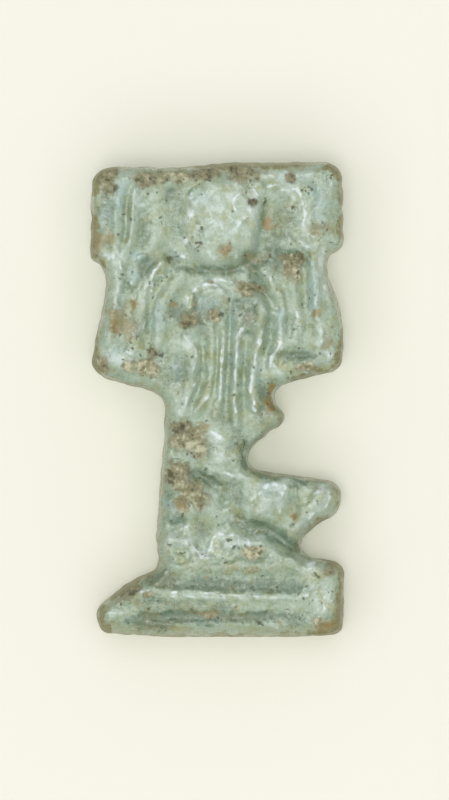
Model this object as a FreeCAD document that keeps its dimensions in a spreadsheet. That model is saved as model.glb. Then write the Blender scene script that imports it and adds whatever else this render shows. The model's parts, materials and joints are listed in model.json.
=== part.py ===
import FreeCAD, Part
import math
import os
import Sketcher

# Moulded faience amulet of a kneeling figure that holds up a sun disc.
# +X is to the viewer's right, +Z is up and the moulded front looks along -Y.
# The origin is the middle of the plinth's underside.

NODE_FOLDER = "parts"
os.makedirs(NODE_FOLDER, exist_ok=True)
doc = FreeCAD.newDocument("shu_amulet")

# Driving dimensions in millimetres and degrees
SIZES = {
    "plinth_height": 3.56,
    "plinth_depth": 4.5,
    "plinth_toe_reach": 5.85,
    "plinth_heel_reach": 5.6,
    "plinth_corner_round": 0.55,
    "trough_depth": 0.34,
    "trough_width": 1.15,
    "upper_trough_height": 2.6,
    "lower_trough_height": 1.15,
    "legs_height": 4.34,
    "torso_height": 3.51,
    "arms_height": 10.62,
    "arm_span": 11.76,
    "knee_reach": 5.78,
    "chest_reach": 3.16,
    "figure_depth": 3.8,
    "draft_angle": 2.0,
    "corner_round": 0.7,
    "elbow_round": 0.5,
    "knee_round": 0.55,
    "notch_round": 0.6,
    "tip_round": 0.45,
    "rim_round": 0.3,
    "left_seam_offset": 1.5,
    "right_seam_offset": 2.3,
    "thigh_seam_offset": 1.35,
    "disc_radius": 1.95,
    "disc_rise": 0.5,
    "disc_edge_round": 0.35,
    "head_rise": 0.45,
    "lappet_rise": 0.42,
    "flute_width": 0.44,
    "flute_depth": 0.2,
    "hand_rise": 0.45,
    "forearm_rise": 0.42,
    "upper_arm_rise": 0.4,
    "fold_width": 0.46,
    "fold_depth": 0.16,
    "palm_width": 1.5,
    "palm_depth": 0.28,
    "chest_rise": 0.3,
    "kilt_rise": 0.3,
    "thigh_rise": 0.5,
    "knee_rise": 0.52,
    "shin_rise": 0.46,
    "foot_rise": 0.42,
    "relief_draft": 12.0,
    "relief_corner_round": 0.5,
    "relief_round": 0.26,
    "loop_length": 1.8,
    "loop_radius": 1.25,
    "loop_bore_radius": 0.6,
    "loop_standoff": 0.95,
    "loop_height": 18.2,
    "loop_edge_round": 0.25,
    "overrun": 1.0,
}

sheet = doc.addObject("Spreadsheet::Sheet", "Sizes")
for row, (size_name, size_value) in enumerate(SIZES.items(), start=1):
    sheet.set(f"A{row}", size_name)
    sheet.set(f"B{row}", str(size_value))
    sheet.setAlias(f"B{row}", size_name)
doc.recompute()

# Levels that follow from the sizes; depths are measured from the origin towards the front
PLINTH_TOP = "Sizes.plinth_height"
LEGS_TOP = "(Sizes.plinth_height + Sizes.legs_height)"
TORSO_TOP = "(Sizes.plinth_height + Sizes.legs_height + Sizes.torso_height)"
BACK_LEVEL = "(0 - Sizes.plinth_depth / 2)"
GROUND_LEVEL = "(Sizes.figure_depth - Sizes.plinth_depth / 2)"
FRONT_LEVEL = "(Sizes.plinth_depth / 2)"

# Each zone of the figure: its reach either side of the centre line, its foot and its height
ZONES = {
    "plinth_toe": ("Sizes.plinth_toe_reach", "0", "Sizes.plinth_height"),
    "plinth_heel": ("Sizes.plinth_heel_reach", "0", "Sizes.plinth_height"),
    "legs": ("Sizes.knee_reach", PLINTH_TOP, "Sizes.legs_height"),
    "torso": ("Sizes.chest_reach", LEGS_TOP, "Sizes.torso_height"),
    "arms": ("Sizes.arm_span / 2", TORSO_TOP, "Sizes.arms_height"),
}

# Outline of the figure above the plinth, clockwise from its back heel.
# Each corner: zone, share of the zone's reach, share of its height, and the round it gets.
FIGURE_OUTLINE_SHARES = [
    ("legs", -0.48, -0.1, None),
    ("torso", -0.82, 0.0, None),
    ("torso", -0.73, 0.82, "notch_round"),
    ("arms", -0.53, 0.0, "notch_round"),
    ("arms", -0.91, 0.05, "elbow_round"),
    ("arms", -0.99, 0.13, "elbow_round"),
    ("arms", -0.87, 0.44, "notch_round"),
    ("arms", -0.88, 0.52, "tip_round"),
    ("arms", -1.0, 0.585, "tip_round"),
    ("arms", -0.995, 0.975, "corner_round"),
    ("arms", 1.0, 1.0, "corner_round"),
    ("arms", 1.0, 0.615, "tip_round"),
    ("arms", 0.87, 0.56, "tip_round"),
    ("arms", 0.87, 0.49, "notch_round"),
    ("arms", 1.0, 0.25, "notch_round"),
    ("arms", 1.0, 0.09, "elbow_round"),
    ("arms", 0.535, 0.02, "notch_round"),
    ("torso", 0.84, 0.91, "tip_round"),
    ("torso", 1.02, 0.66, "tip_round"),
    ("torso", 0.555, 0.29, "tip_round"),
    ("legs", 0.25, 0.99, "tip_round"),
    ("legs", 1.01, 0.80, "knee_round"),
    ("legs", 1.0, 0.57, "knee_round"),
    ("legs", 0.68, 0.245, "tip_round"),
    ("legs", 0.68, -0.1, None),
]

# Outline of the plinth, clockwise from its heel on the ground
PLINTH_OUTLINE_SHARES = [
    ("plinth_heel", -1.0, 0.0, "plinth_corner_round"),
    ("plinth_heel", -1.0, 0.34, "plinth_corner_round"),
    ("plinth_heel", -0.53, 0.86, None),
    ("plinth_heel", -0.51, 1.0, None),
    ("plinth_toe", 1.0, 1.0, "plinth_corner_round"),
    ("plinth_toe", 1.0, 0.0, "plinth_corner_round"),
]

# Outlines of the raised forms: zone, share of its reach, share of its height
RAISED_FORM_SHARES = {
    "head": ("head_rise", [
        ("arms", -0.26, 0.28), ("arms", -0.22, 0.42), ("arms", -0.1, 0.47), ("arms", 0.09, 0.46),
        ("arms", 0.24, 0.46), ("arms", 0.38, 0.4), ("arms", 0.4, 0.28)]),
    "wig_lappets": ("lappet_rise", [
        ("arms", -0.27, 0.27), ("arms", 0.42, 0.27), ("arms", 0.37, 0.04), ("torso", 0.52, 0.72),
        ("torso", 0.0, 0.56), ("torso", -0.53, 0.66), ("arms", -0.24, 0.08)]),
    "left_hand": ("hand_rise", [
        ("arms", -0.9, 0.92), ("arms", -0.46, 0.92), ("arms", -0.44, 0.66),
        ("arms", -0.61, 0.57), ("arms", -0.9, 0.61)]),
    "left_forearm": ("forearm_rise", [
        ("arms", -0.79, 0.54), ("arms", -0.63, 0.54), ("arms", -0.68, 0.36), ("arms", -0.62, 0.18),
        ("arms", -0.72, 0.1), ("arms", -0.88, 0.15), ("arms", -0.79, 0.42)]),
    "left_upper_arm": ("upper_arm_rise", [
        ("arms", -0.54, 0.54), ("arms", -0.28, 0.52), ("arms", -0.34, 0.34),
        ("arms", -0.36, 0.1), ("arms", -0.48, 0.06), ("arms", -0.58, 0.18), ("arms", -0.62, 0.36)]),
    "right_hand": ("hand_rise", [
        ("arms", 0.38, 0.93), ("arms", 0.9, 0.93), ("arms", 0.9, 0.66),
        ("arms", 0.78, 0.59), ("arms", 0.44, 0.59), ("arms", 0.39, 0.68)]),
    "right_forearm": ("forearm_rise", [
        ("arms", 0.65, 0.57), ("arms", 0.78, 0.55), ("arms", 0.81, 0.42), ("arms", 0.89, 0.2),
        ("arms", 0.82, 0.13), ("arms", 0.68, 0.18)]),
    "right_upper_arm": ("upper_arm_rise", [
        ("arms", 0.41, 0.54), ("arms", 0.6, 0.56), ("arms", 0.64, 0.4),
        ("arms", 0.64, 0.18), ("arms", 0.46, 0.14), ("arms", 0.45, 0.33)]),
    "chest": ("chest_rise", [
        ("torso", -0.6, 0.5), ("torso", 0.6, 0.57), ("torso", 0.3, 0.2), ("torso", -0.62, 0.1)]),
    "kilt": ("kilt_rise", [
        ("legs", -0.38, 0.93), ("legs", 0.17, 0.95), ("legs", 0.2, 0.58),
        ("legs", 0.12, 0.36), ("legs", -0.38, 0.36)]),
    "thigh_muscle": ("thigh_rise", [
        ("legs", 0.27, 0.83), ("legs", 0.57, 0.79), ("legs", 0.58, 0.44),
        ("legs", 0.48, 0.3), ("legs", 0.24, 0.5)]),
    "kneecap": ("knee_rise", [
        ("legs", 0.63, 0.77), ("legs", 0.92, 0.68), ("legs", 0.65, 0.36)]),
    "shin": ("shin_rise", [
        ("legs", -0.03, 0.31), ("legs", 0.26, 0.32), ("legs", 0.56, 0.2),
        ("legs", 0.58, 0.03), ("legs", -0.03, 0.03)]),
    "foot": ("foot_rise", [
        ("legs", -0.38, 0.32), ("legs", -0.12, 0.28), ("legs", -0.08, 0.03), ("legs", -0.39, 0.03)]),
}

# Gouge strokes on the raised forms: the sizes that they take, and the places of their deep and fading ends
GOUGE_SHARES = {
    "head": [("fold", ("arms", 0.085, 0.5), ("arms", 0.08, 0.3))],
    "wig_lappets": [
        ("flute", ("arms", -0.09, 0.32), ("arms", -0.15, -0.12)),
        ("flute", ("arms", 0.01, 0.32), ("arms", -0.03, -0.14)),
        ("flute", ("arms", 0.12, 0.32), ("arms", 0.08, -0.14)),
        ("flute", ("arms", 0.24, 0.32), ("arms", 0.21, -0.12))],
    "left_hand": [
        ("fold", ("arms", -0.64, 0.52), ("arms", -0.56, 0.9)),
        ("fold", ("arms", -0.77, 0.54), ("arms", -0.72, 0.9))],
    "left_forearm": [("fold", ("arms", -0.72, 0.58), ("arms", -0.77, 0.2))],
    "left_upper_arm": [
        ("fold", ("arms", -0.36, 0.58), ("arms", -0.56, 0.28)),
        ("fold", ("arms", -0.5, 0.02), ("arms", -0.46, 0.42))],
    "right_hand": [
        ("palm", ("arms", 0.52, 0.55), ("arms", 0.53, 0.9)),
        ("fold", ("arms", 0.76, 0.55), ("arms", 0.74, 0.9))],
    "right_forearm": [("fold", ("arms", 0.73, 0.6), ("arms", 0.8, 0.16))],
    "right_upper_arm": [("fold", ("arms", 0.52, 0.6), ("arms", 0.56, 0.16))],
    "kilt": [("fold", ("legs", -0.45, 1.0), ("legs", 0.16, 0.55))],
}

# Place of the disc, as shares of the arms' zone
DISC_PLACE_SHARES = ("arms", 0.04, 0.735)

# Ends of the plinth's troughs, as shares of its reach to the heel and to the toe
UPPER_TROUGH_END_SHARES = (-0.5, 0.84)
LOWER_TROUGH_END_SHARES = (-0.84, 0.84)

# Slope of a trough's sides: shares of its depth, and of its width inwards
TROUGH_SLOPE_SHARES = [(0.0, 0.0), (0.75, 0.15), (1.0, 0.34)]

# A worn rim in two bevels: shares of the round in height above the shoulder, and inwards
RIM_BEVEL_SHARES = [(0.0, 0.0), (0.7, 0.3), (1.0, 1.0)]

# A corner's round is held to this share of its shorter side, and keeps this share of itself at the top
SIDE_SHARE = 0.45
LEAST_ROUND_SHARE = 0.2

TOUCH = 1e-6
subparts = []


# Shared helpers

def value(expression):
    """Number that an expression on the sheet gives."""
    return float(FreeCAD.Units.Quantity(sheet.evalExpression(expression)))


def zone_point(zone, reach_share, height_share):
    """Expressions for the X and Z of a place given in shares of a zone."""
    reach, foot, height = ZONES[zone]
    return f"{reach} * ({reach_share})", f"{foot} + {height} * ({height_share})"


def flat_vector(place):
    """Vector in a sketch's plane from a pair of expressions."""
    return FreeCAD.Vector(value(place[0]), value(place[1]), 0)


def origin_plane(body, role):
    """One of the body's own origin planes."""
    return next(item for item in body.Origin.OriginFeatures if item.Role == role)


def new_body(label):
    """Empty body with a label that names its file."""
    body = doc.addObject("PartDesign::Body", label)
    body.Label = label
    return body


def flat_sketch(body, name, role, level):
    """Sketch on an origin plane of the body, moved along the plane's normal."""
    sketch = body.newObject("Sketcher::SketchObject", name)
    sketch.AttachmentSupport = (origin_plane(body, role), [""])
    sketch.MapMode = "FlatFace"
    sketch.setExpression("AttachmentOffset.Base.z", level)
    return sketch


def pin_point(sketch, geometry, end, place):
    """Tie one end of a sketch line to expressions for its two coordinates."""
    for kind, expression in zip(("DistanceX", "DistanceY"), place):
        index = sketch.addConstraint(Sketcher.Constraint(kind, -1, 1, geometry, end, value(expression)))
        sketch.setExpression(f"Constraints[{index}]", expression)


def bind_radius(sketch, geometry, expression):
    """Tie the radius of an arc or a circle to an expression."""
    index = sketch.addConstraint(Sketcher.Constraint("Radius", geometry, value(expression)))
    sketch.setExpression(f"Constraints[{index}]", expression)


def draw_circle(sketch, place, radius):
    """Circle about a place that is given as a pair of expressions."""
    circle = Part.Circle(flat_vector(place), FreeCAD.Vector(0, 0, 1), value(radius))
    geometry = sketch.addGeometry(circle, False)
    pin_point(sketch, geometry, 3, place)
    bind_radius(sketch, geometry, radius)


def outline_corners(places, rounds, level_sides_drafted=True):
    """Each corner's place, its ways in and out, how draft and wear shift it, its turn and its round."""
    points = [flat_vector(place) for place in places]
    following = points[1:] + points[:1]
    area = sum(here.x * there.y - there.x * here.y for here, there in zip(points, following))
    inward = 1 if area > 0 else -1
    corners = []
    for index, place in enumerate(places):
        side_in = points[index] - points[index - 1]
        side_out = following[index] - points[index]
        shorter = min(side_in.Length, side_out.Length)
        arriving = side_in.normalize()
        leaving = side_out.normalize()
        first_normal = FreeCAD.Vector(-arriving.y, arriving.x, 0) * inward
        second_normal = FreeCAD.Vector(-leaving.y, leaving.x, 0) * inward
        first_draft = 1 if level_sides_drafted or abs(arriving.y) > TOUCH else 0
        second_draft = 1 if level_sides_drafted or abs(leaving.y) > TOUCH else 0
        draft_share = corner_shift(first_normal, second_normal, first_draft, second_draft)
        wear_share = corner_shift(first_normal, second_normal, 1, 1)
        turn = math.atan2(arriving.x * leaving.y - arriving.y * leaving.x, arriving.dot(leaving))
        radius = None
        if rounds[index]:
            limit = SIDE_SHARE * shorter / abs(math.tan(turn / 2))
            radius = f"min({rounds[index]}; {limit})"
        corners.append((place, arriving, leaving, draft_share, wear_share, turn, turn * inward > 0, radius))
    return corners


def corner_shift(first_normal, second_normal, first_inset, second_inset):
    """Shift of a corner whose two sides each move inwards by their own inset."""
    cosine = first_normal.dot(second_normal)
    first_pull = first_normal * (first_inset - second_inset * cosine)
    second_pull = second_normal * (second_inset - first_inset * cosine)
    return (first_pull + second_pull) / (1 - cosine ** 2)


def draw_outline(sketch, corners, draft, wear):
    """Closed outline of lines and tangent arcs, moved inwards by the draft and the wear."""
    ends = []
    inset = f"{draft} + {wear}"
    for place, arriving, leaving, draft_share, wear_share, turn, bulges, radius in corners:
        corner = moved_along(moved_along(place, draft_share, f"({draft})"), wear_share, f"({wear})")
        if radius is None:
            ends.append((corner, corner, None))
            continue
        here = f"({radius} + ({inset}))"
        if bulges:
            here = f"max({radius} - ({inset}); {radius} * {LEAST_ROUND_SHARE})"
        reach_share = abs(math.tan(turn / 2))
        start = moved_along(corner, arriving * -reach_share, here)
        stop = moved_along(corner, leaving * reach_share, here)
        draw_corner_arc(sketch, start, stop, here, turn)
        ends.append((start, stop, sketch.GeometryCount - 1))
    for index, (_, stop, arc) in enumerate(ends):
        following, _, next_arc = ends[(index + 1) % len(ends)]
        line = sketch.addGeometry(Part.LineSegment(flat_vector(stop), flat_vector(following)), False)
        for end, place, neighbour in ((1, stop, arc), (2, following, next_arc)):
            if neighbour is None:
                pin_point(sketch, line, end, place)
            else:
                meeting = arc_end(sketch, neighbour, place)
                sketch.addConstraint(Sketcher.Constraint("Coincident", line, end, neighbour, meeting))


def moved_along(place, way, distance):
    """Place moved by a distance times a way."""
    return f"{place[0]} + {distance} * ({way.x})", f"{place[1]} + {distance} * ({way.y})"


def arc_end(sketch, arc, place):
    """Which end of an arc lies at a place."""
    return 1 if sketch.Geometry[arc].StartPoint.distanceToPoint(flat_vector(place)) < TOUCH else 2


def draw_corner_arc(sketch, start, stop, radius, turn):
    """Arc of a given radius between the two ends of a rounded corner, drawn anticlockwise."""
    ends = (start, stop) if turn > 0 else (stop, start)
    first, last = flat_vector(ends[0]), flat_vector(ends[1])
    chord = last - first
    outward = FreeCAD.Vector(chord.y, -chord.x, 0).normalize()
    middle = (first + last) / 2 + outward * value(radius) * (1 - math.cos(turn / 2))
    arc = sketch.addGeometry(Part.Arc(first, middle, last), False)
    pin_point(sketch, arc, 1, ends[0])
    pin_point(sketch, arc, 2, ends[1])
    bind_radius(sketch, arc, radius)


def bevelled_levels(foot, depth, draft, rim):
    """Levels of a drafted block with a worn rim: how far forward each lies, its draft and its wear."""
    levels = [(foot, "0", "0")]
    for height_share, inset_share in RIM_BEVEL_SHARES:
        level = f"{foot} + {depth} - {rim} * {1 - height_share}"
        levels.append((level, f"({depth} - {rim}) * tan({draft} * 1 deg)", f"{rim} * {inset_share}"))
    return levels


def stepped_loft(body, levels, draw):
    """Straight-sided loft through one sketch for each level."""
    sketches = []
    for index, (level, draft, wear) in enumerate(levels):
        sketch = flat_sketch(body, f"{body.Name}_level_{index}", "XZ_Plane", level)
        draw(sketch, draft, wear)
        sketches.append(sketch)
    loft = body.newObject("PartDesign::AdditiveLoft", body.Name + "_loft")
    loft.Profile = sketches[0]
    loft.Sections = sketches[1:]
    loft.Ruled = True
    doc.recompute()


def drafted_block(label, corners, levels):
    """Body that rises from an outline, level by level."""
    body = new_body(label)

    def draw(sketch, draft, wear):
        draw_outline(sketch, corners, draft, wear)

    stepped_loft(body, levels, draw)
    return body


def fillet(body, base, edges, radius):
    """Fillet on chosen edges of the body's last feature."""
    feature = body.newObject("PartDesign::Fillet", body.Name + "_round")
    feature.Base = (base, edges)
    feature.setExpression("Radius", radius)
    doc.recompute()
    return feature


def cutting_feature(body, kind, name, settings):
    """Feature that has to take material away."""
    before = body.Shape.Volume
    feature = body.newObject("PartDesign::" + kind, name)
    settings(feature)
    doc.recompute()
    if feature.Shape.isNull() or feature.Shape.Volume >= before:
        raise RuntimeError(name + " cuts nothing")
    return feature


def gouge(body, name, start, stop, level, width, depth):
    """Stroke of a round gouge: full depth at its start, and fading out at its stop."""
    run = flat_vector(stop) - flat_vector(start)
    run_length = f"sqrt(pow({stop[0]} - ({start[0]}); 2) + pow({stop[1]} - ({start[1]}); 2))"
    tool = f"(pow({width} / 2; 2) + pow({depth}; 2)) / (2 * {depth})"
    along = FreeCAD.Vector(run.x, -value(depth), run.y)
    slope = FreeCAD.Rotation(FreeCAD.Vector(0, 0, 1), along)

    def shaping(feature):
        feature.setExpression("Radius", tool)
        feature.setExpression("Height", run_length + " + Sizes.overrun")
        feature.Placement = FreeCAD.Placement(FreeCAD.Vector(), slope)
        feature.setExpression("Placement.Base.x", start[0])
        feature.setExpression("Placement.Base.y", f"{depth} - ({level}) - ({tool})")
        feature.setExpression("Placement.Base.z", start[1])

    cutting_feature(body, "SubtractiveCylinder", name, shaping)


def edge_names(shape, test):
    """Names of the edges that pass a test."""
    return [f"Edge{index}" for index, edge in enumerate(shape.Edges, start=1) if test(edge)]


def box_between(label, low, high):
    """Box between two corners that are given as expressions."""
    box = doc.addObject("Part::Box", label)
    for side, axis, start, stop in zip(("Length", "Width", "Height"), "xyz", low, high):
        box.setExpression(side, f"{stop} - ({start})")
        box.setExpression("Placement.Base." + axis, start)
    return box


# The moulding's full-depth masses

def outline_places(rows):
    """Places and rounds of an outline's corners."""
    places = [zone_point(zone, across, up) for zone, across, up, _ in rows]
    rounds = ["Sizes." + round_name if round_name else None for _, _, _, round_name in rows]
    return places, rounds


def figure_blank():
    """The whole figure above the plinth, drawn in towards the front, with worn rims."""
    places, rounds = outline_places(FIGURE_OUTLINE_SHARES)
    levels = bevelled_levels(BACK_LEVEL, "Sizes.figure_depth", "Sizes.draft_angle", "Sizes.rim_round")
    return drafted_block("figure_blank", outline_corners(places, rounds), levels)


def mass(label, left, right, foot, top):
    """One mass of the figure: what of the blank lies between four seams."""
    low = (left, FAR_FORWARD, foot)
    high = (right, FAR_BACKWARD, top)
    common = doc.addObject("Part::Common", label)
    common.Base = blank
    common.Tool = box_between(label + "_seams", low, high)
    common.Label = label
    doc.recompute()
    subparts.append(common)


def plinth():
    """Base block with a flat foot and top, a sloping heel and two long troughs along its front."""
    places, rounds = outline_places(PLINTH_OUTLINE_SHARES)
    corners = outline_corners(places, rounds, level_sides_drafted=False)
    levels = bevelled_levels(BACK_LEVEL, "Sizes.plinth_depth", "Sizes.draft_angle", "Sizes.rim_round")
    body = drafted_block("plinth", corners, levels)
    trough(body, "upper_trough", "Sizes.upper_trough_height", UPPER_TROUGH_END_SHARES)
    trough(body, "lower_trough", "Sizes.lower_trough_height", LOWER_TROUGH_END_SHARES)
    subparts.append(body)


def trough(body, name, height, end_shares):
    """Long hollow along the plinth's front, with sloping sides and rounded ends."""
    heel_end = f"Sizes.plinth_heel_reach * ({end_shares[0]})"
    toe_end = f"Sizes.plinth_toe_reach * ({end_shares[1]})"
    low = f"{height} - Sizes.trough_width / 2"
    high = f"{height} + Sizes.trough_width / 2"
    places = [(heel_end, low), (toe_end, low), (toe_end, high), (heel_end, high)]
    corners = outline_corners(places, ["Sizes.trough_width / 2"] * len(places))
    sketches = []
    for index, (depth_share, inset_share) in enumerate(TROUGH_SLOPE_SHARES):
        level = f"{FRONT_LEVEL} - Sizes.trough_depth * {depth_share}"
        sketch = flat_sketch(body, f"{name}_level_{index}", "XZ_Plane", level)
        draw_outline(sketch, corners, "0", f"Sizes.trough_width * {inset_share}")
        sketches.append(sketch)

    def lofting(feature):
        feature.Profile = sketches[0]
        feature.Sections = sketches[1:]
        feature.Ruled = True

    cutting_feature(body, "SubtractiveLoft", name, lofting)


# The raised forms on the front

def raised_form(label, rise, rows):
    """Modelled form that stands on the figure's front, drafted, bevelled and gouged."""
    places = [zone_point(zone, across, up) for zone, across, up in rows]
    levels = bevelled_levels(GROUND_LEVEL, rise, "Sizes.relief_draft", "Sizes.relief_round")
    corners = outline_corners(places, ["Sizes.relief_corner_round"] * len(places))
    body = drafted_block(label, corners, levels)
    level = f"{GROUND_LEVEL} + {rise}"
    for index, (kind, start, stop) in enumerate(GOUGE_SHARES.get(label, [])):
        width = f"Sizes.{kind}_width"
        depth = f"Sizes.{kind}_depth"
        gouge(body, f"{label}_{kind}_{index}", zone_point(*start), zone_point(*stop), level, width, depth)
    subparts.append(body)


def sun_disc():
    """Round disc between the raised hands, with a bevelled edge."""
    body = new_body("sun_disc")
    place = zone_point(*DISC_PLACE_SHARES)
    levels = bevelled_levels(GROUND_LEVEL, "Sizes.disc_rise", "Sizes.relief_draft", "Sizes.disc_edge_round")

    def draw_disc(sketch, draft, wear):
        draw_circle(sketch, place, f"Sizes.disc_radius - ({draft} + {wear})")

    stepped_loft(body, levels, draw_disc)
    subparts.append(body)


# The loop behind the figure

def suspension_loop():
    """Short tube with a flat foot, set on the back so that a cord passes from side to side."""
    body = new_body("suspension_loop")
    back = "0 - " + BACK_LEVEL
    axis = f"{back} + Sizes.loop_standoff"
    low = "Sizes.loop_height - Sizes.loop_radius"
    high = "Sizes.loop_height + Sizes.loop_radius"
    sketch = flat_sketch(body, "loop_section", "YZ_Plane", "0")
    corners = [(back, high), (back, low), (axis, low), (axis, high)]
    points = [flat_vector(corner) for corner in corners]
    crown = FreeCAD.Vector(value(axis + " + Sizes.loop_radius"), value("Sizes.loop_height"), 0)
    sketch.addGeometry(Part.LineSegment(points[0], points[1]), False)
    sketch.addGeometry(Part.LineSegment(points[1], points[2]), False)
    sketch.addGeometry(Part.Arc(points[2], crown, points[3]), False)
    sketch.addGeometry(Part.LineSegment(points[3], points[0]), False)
    arc_start = arc_end(sketch, 2, corners[2])
    arc_stop = arc_end(sketch, 2, corners[3])
    sketch.addConstraint(Sketcher.Constraint("Coincident", 0, 2, 1, 1))
    sketch.addConstraint(Sketcher.Constraint("Coincident", 1, 2, 2, arc_start))
    sketch.addConstraint(Sketcher.Constraint("Coincident", 2, arc_stop, 3, 1))
    sketch.addConstraint(Sketcher.Constraint("Coincident", 3, 2, 0, 1))
    for index, corner in enumerate(corners[:3]):
        pin_point(sketch, index, 1 if index < 2 else arc_start, corner)
    pin_point(sketch, 3, 1, corners[3])
    pad = body.newObject("PartDesign::Pad", "loop_pad")
    pad.Profile = sketch
    pad.Midplane = True
    pad.setExpression("Length", "Sizes.loop_length")
    doc.recompute()
    round_edges = edge_names(pad.Shape, is_loop_shoulder)
    fillet(body, pad, round_edges, "Sizes.loop_edge_round")
    bore = flat_sketch(body, "bore_circle", "YZ_Plane", "0")
    draw_circle(bore, (axis, "Sizes.loop_height"), "Sizes.loop_bore_radius")

    def boring(feature):
        feature.Profile = bore
        feature.Midplane = True
        feature.setExpression("Length", "Sizes.loop_length + 2 * Sizes.overrun")

    cutting_feature(body, "Pocket", "loop_bore", boring)
    subparts.append(body)


def is_loop_shoulder(edge):
    """Whether an edge of the loop lies on one of its ends, clear of its foot."""
    box = edge.BoundBox
    return box.XLength < TOUCH and box.YMax > value(f"0 - {BACK_LEVEL}") + TOUCH


# The amulet

FAR_FORWARD = "(0 - Sizes.plinth_depth)"
FAR_BACKWARD = "Sizes.plinth_depth"
FAR_UP = f"({TORSO_TOP} + Sizes.arms_height + Sizes.overrun)"
FAR_LEFT = "(0 - Sizes.arm_span)"
FAR_RIGHT = "Sizes.arm_span"
LEFT_SEAM = "(0 - Sizes.left_seam_offset)"
RIGHT_SEAM = "Sizes.right_seam_offset"
THIGH_SEAM = "Sizes.thigh_seam_offset"

plinth()
blank = figure_blank()
mass("folded_leg", FAR_LEFT, THIGH_SEAM, PLINTH_TOP, LEGS_TOP)
mass("raised_thigh", THIGH_SEAM, FAR_RIGHT, PLINTH_TOP, LEGS_TOP)
mass("torso", FAR_LEFT, FAR_RIGHT, LEGS_TOP, TORSO_TOP)
mass("left_arm", FAR_LEFT, LEFT_SEAM, TORSO_TOP, FAR_UP)
mass("back_pillar", LEFT_SEAM, RIGHT_SEAM, TORSO_TOP, FAR_UP)
mass("right_arm", RIGHT_SEAM, FAR_RIGHT, TORSO_TOP, FAR_UP)
sun_disc()
for form_label, (form_rise, form_rows) in RAISED_FORM_SHARES.items():
    raised_form(form_label, "Sizes." + form_rise, form_rows)
suspension_loop()
doc.recompute()

failed = [item.Name for item in doc.Objects if "Invalid" in item.State or "Error" in item.State]
if failed:
    raise RuntimeError("not built: " + ", ".join(failed))
for subpart in subparts:
    if subpart.Shape.isNull() or not subpart.Shape.isValid() or len(subpart.Shape.Solids) != 1:
        raise RuntimeError(subpart.Label + " has no single valid solid")
for subpart in subparts:
    subpart.Shape.exportStep(f"{NODE_FOLDER}/{subpart.Label}.step")
print(len(subparts), "sub-parts written")
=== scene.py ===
import json
import math
import bpy
import numpy as np
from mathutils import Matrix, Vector


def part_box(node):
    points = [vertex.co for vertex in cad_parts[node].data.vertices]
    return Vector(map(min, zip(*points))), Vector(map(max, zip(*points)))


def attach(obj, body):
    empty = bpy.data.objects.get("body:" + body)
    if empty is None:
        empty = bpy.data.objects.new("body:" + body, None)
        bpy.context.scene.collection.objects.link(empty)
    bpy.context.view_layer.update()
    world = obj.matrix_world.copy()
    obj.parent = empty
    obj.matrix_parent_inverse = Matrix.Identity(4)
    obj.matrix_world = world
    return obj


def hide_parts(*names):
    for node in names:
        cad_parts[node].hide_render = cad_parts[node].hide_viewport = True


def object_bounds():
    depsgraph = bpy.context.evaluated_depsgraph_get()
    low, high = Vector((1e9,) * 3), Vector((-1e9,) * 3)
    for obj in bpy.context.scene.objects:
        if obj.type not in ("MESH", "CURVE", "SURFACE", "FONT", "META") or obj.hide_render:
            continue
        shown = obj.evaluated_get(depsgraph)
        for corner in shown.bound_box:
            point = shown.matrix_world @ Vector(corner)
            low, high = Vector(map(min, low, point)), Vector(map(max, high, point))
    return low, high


# Looks of a worn faience amulet that lies on a pale surface.
# Places on the front are pixels of the 449 by 800 photograph, depths and heights are millimetres.
# The front looks along -Y, and the surface that the amulet lies on is behind it.

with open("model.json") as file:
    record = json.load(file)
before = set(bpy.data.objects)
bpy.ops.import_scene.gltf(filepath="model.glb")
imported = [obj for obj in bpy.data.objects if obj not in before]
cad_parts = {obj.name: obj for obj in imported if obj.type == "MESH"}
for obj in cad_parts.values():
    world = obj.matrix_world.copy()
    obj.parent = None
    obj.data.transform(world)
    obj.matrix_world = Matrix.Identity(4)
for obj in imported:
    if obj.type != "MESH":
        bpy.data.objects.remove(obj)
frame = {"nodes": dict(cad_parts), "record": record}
cad_low, cad_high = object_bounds()

# Scale of the photograph and sizes taken from the frame
MM = 0.001
PHOTO_HEIGHT = 800
MM_PER_PIXEL = 0.0462
CENTRE_COLUMN = 217.0
FOOT_ROW = 637.0
BACK_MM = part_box("torso")[1][1] / MM
GROUND_MM = -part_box("torso")[0][1] / MM
FRONT_MM = -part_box("plinth")[0][1] / MM
LOOP_LOW = [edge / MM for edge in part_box("suspension_loop")[0]]
LOOP_HIGH = [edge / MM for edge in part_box("suspension_loop")[1]]
LOOP_BORE_MM = frame["record"]["mounts"][0]["dims"]["r_mm"]

# How finely the moulding is meshed
FIELD_STEP = 0.5
FIELD_LEFT = 80.0
FIELD_TOP = 150.0
FIELD_RIGHT = 354.0
FIELD_BOTTOM = 648.0
GRID_END = 1.001
VOXEL_MM = 0.05
MARGIN_MM = 0.2
SETTLE_STEPS = 4
SETTLE_NUDGE_MM = 0.01
SETTLE_MOVE_MM = 0.4 * VOXEL_MM
LEAST_STEEPNESS = 0.2
TINY = 1e-9

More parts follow.
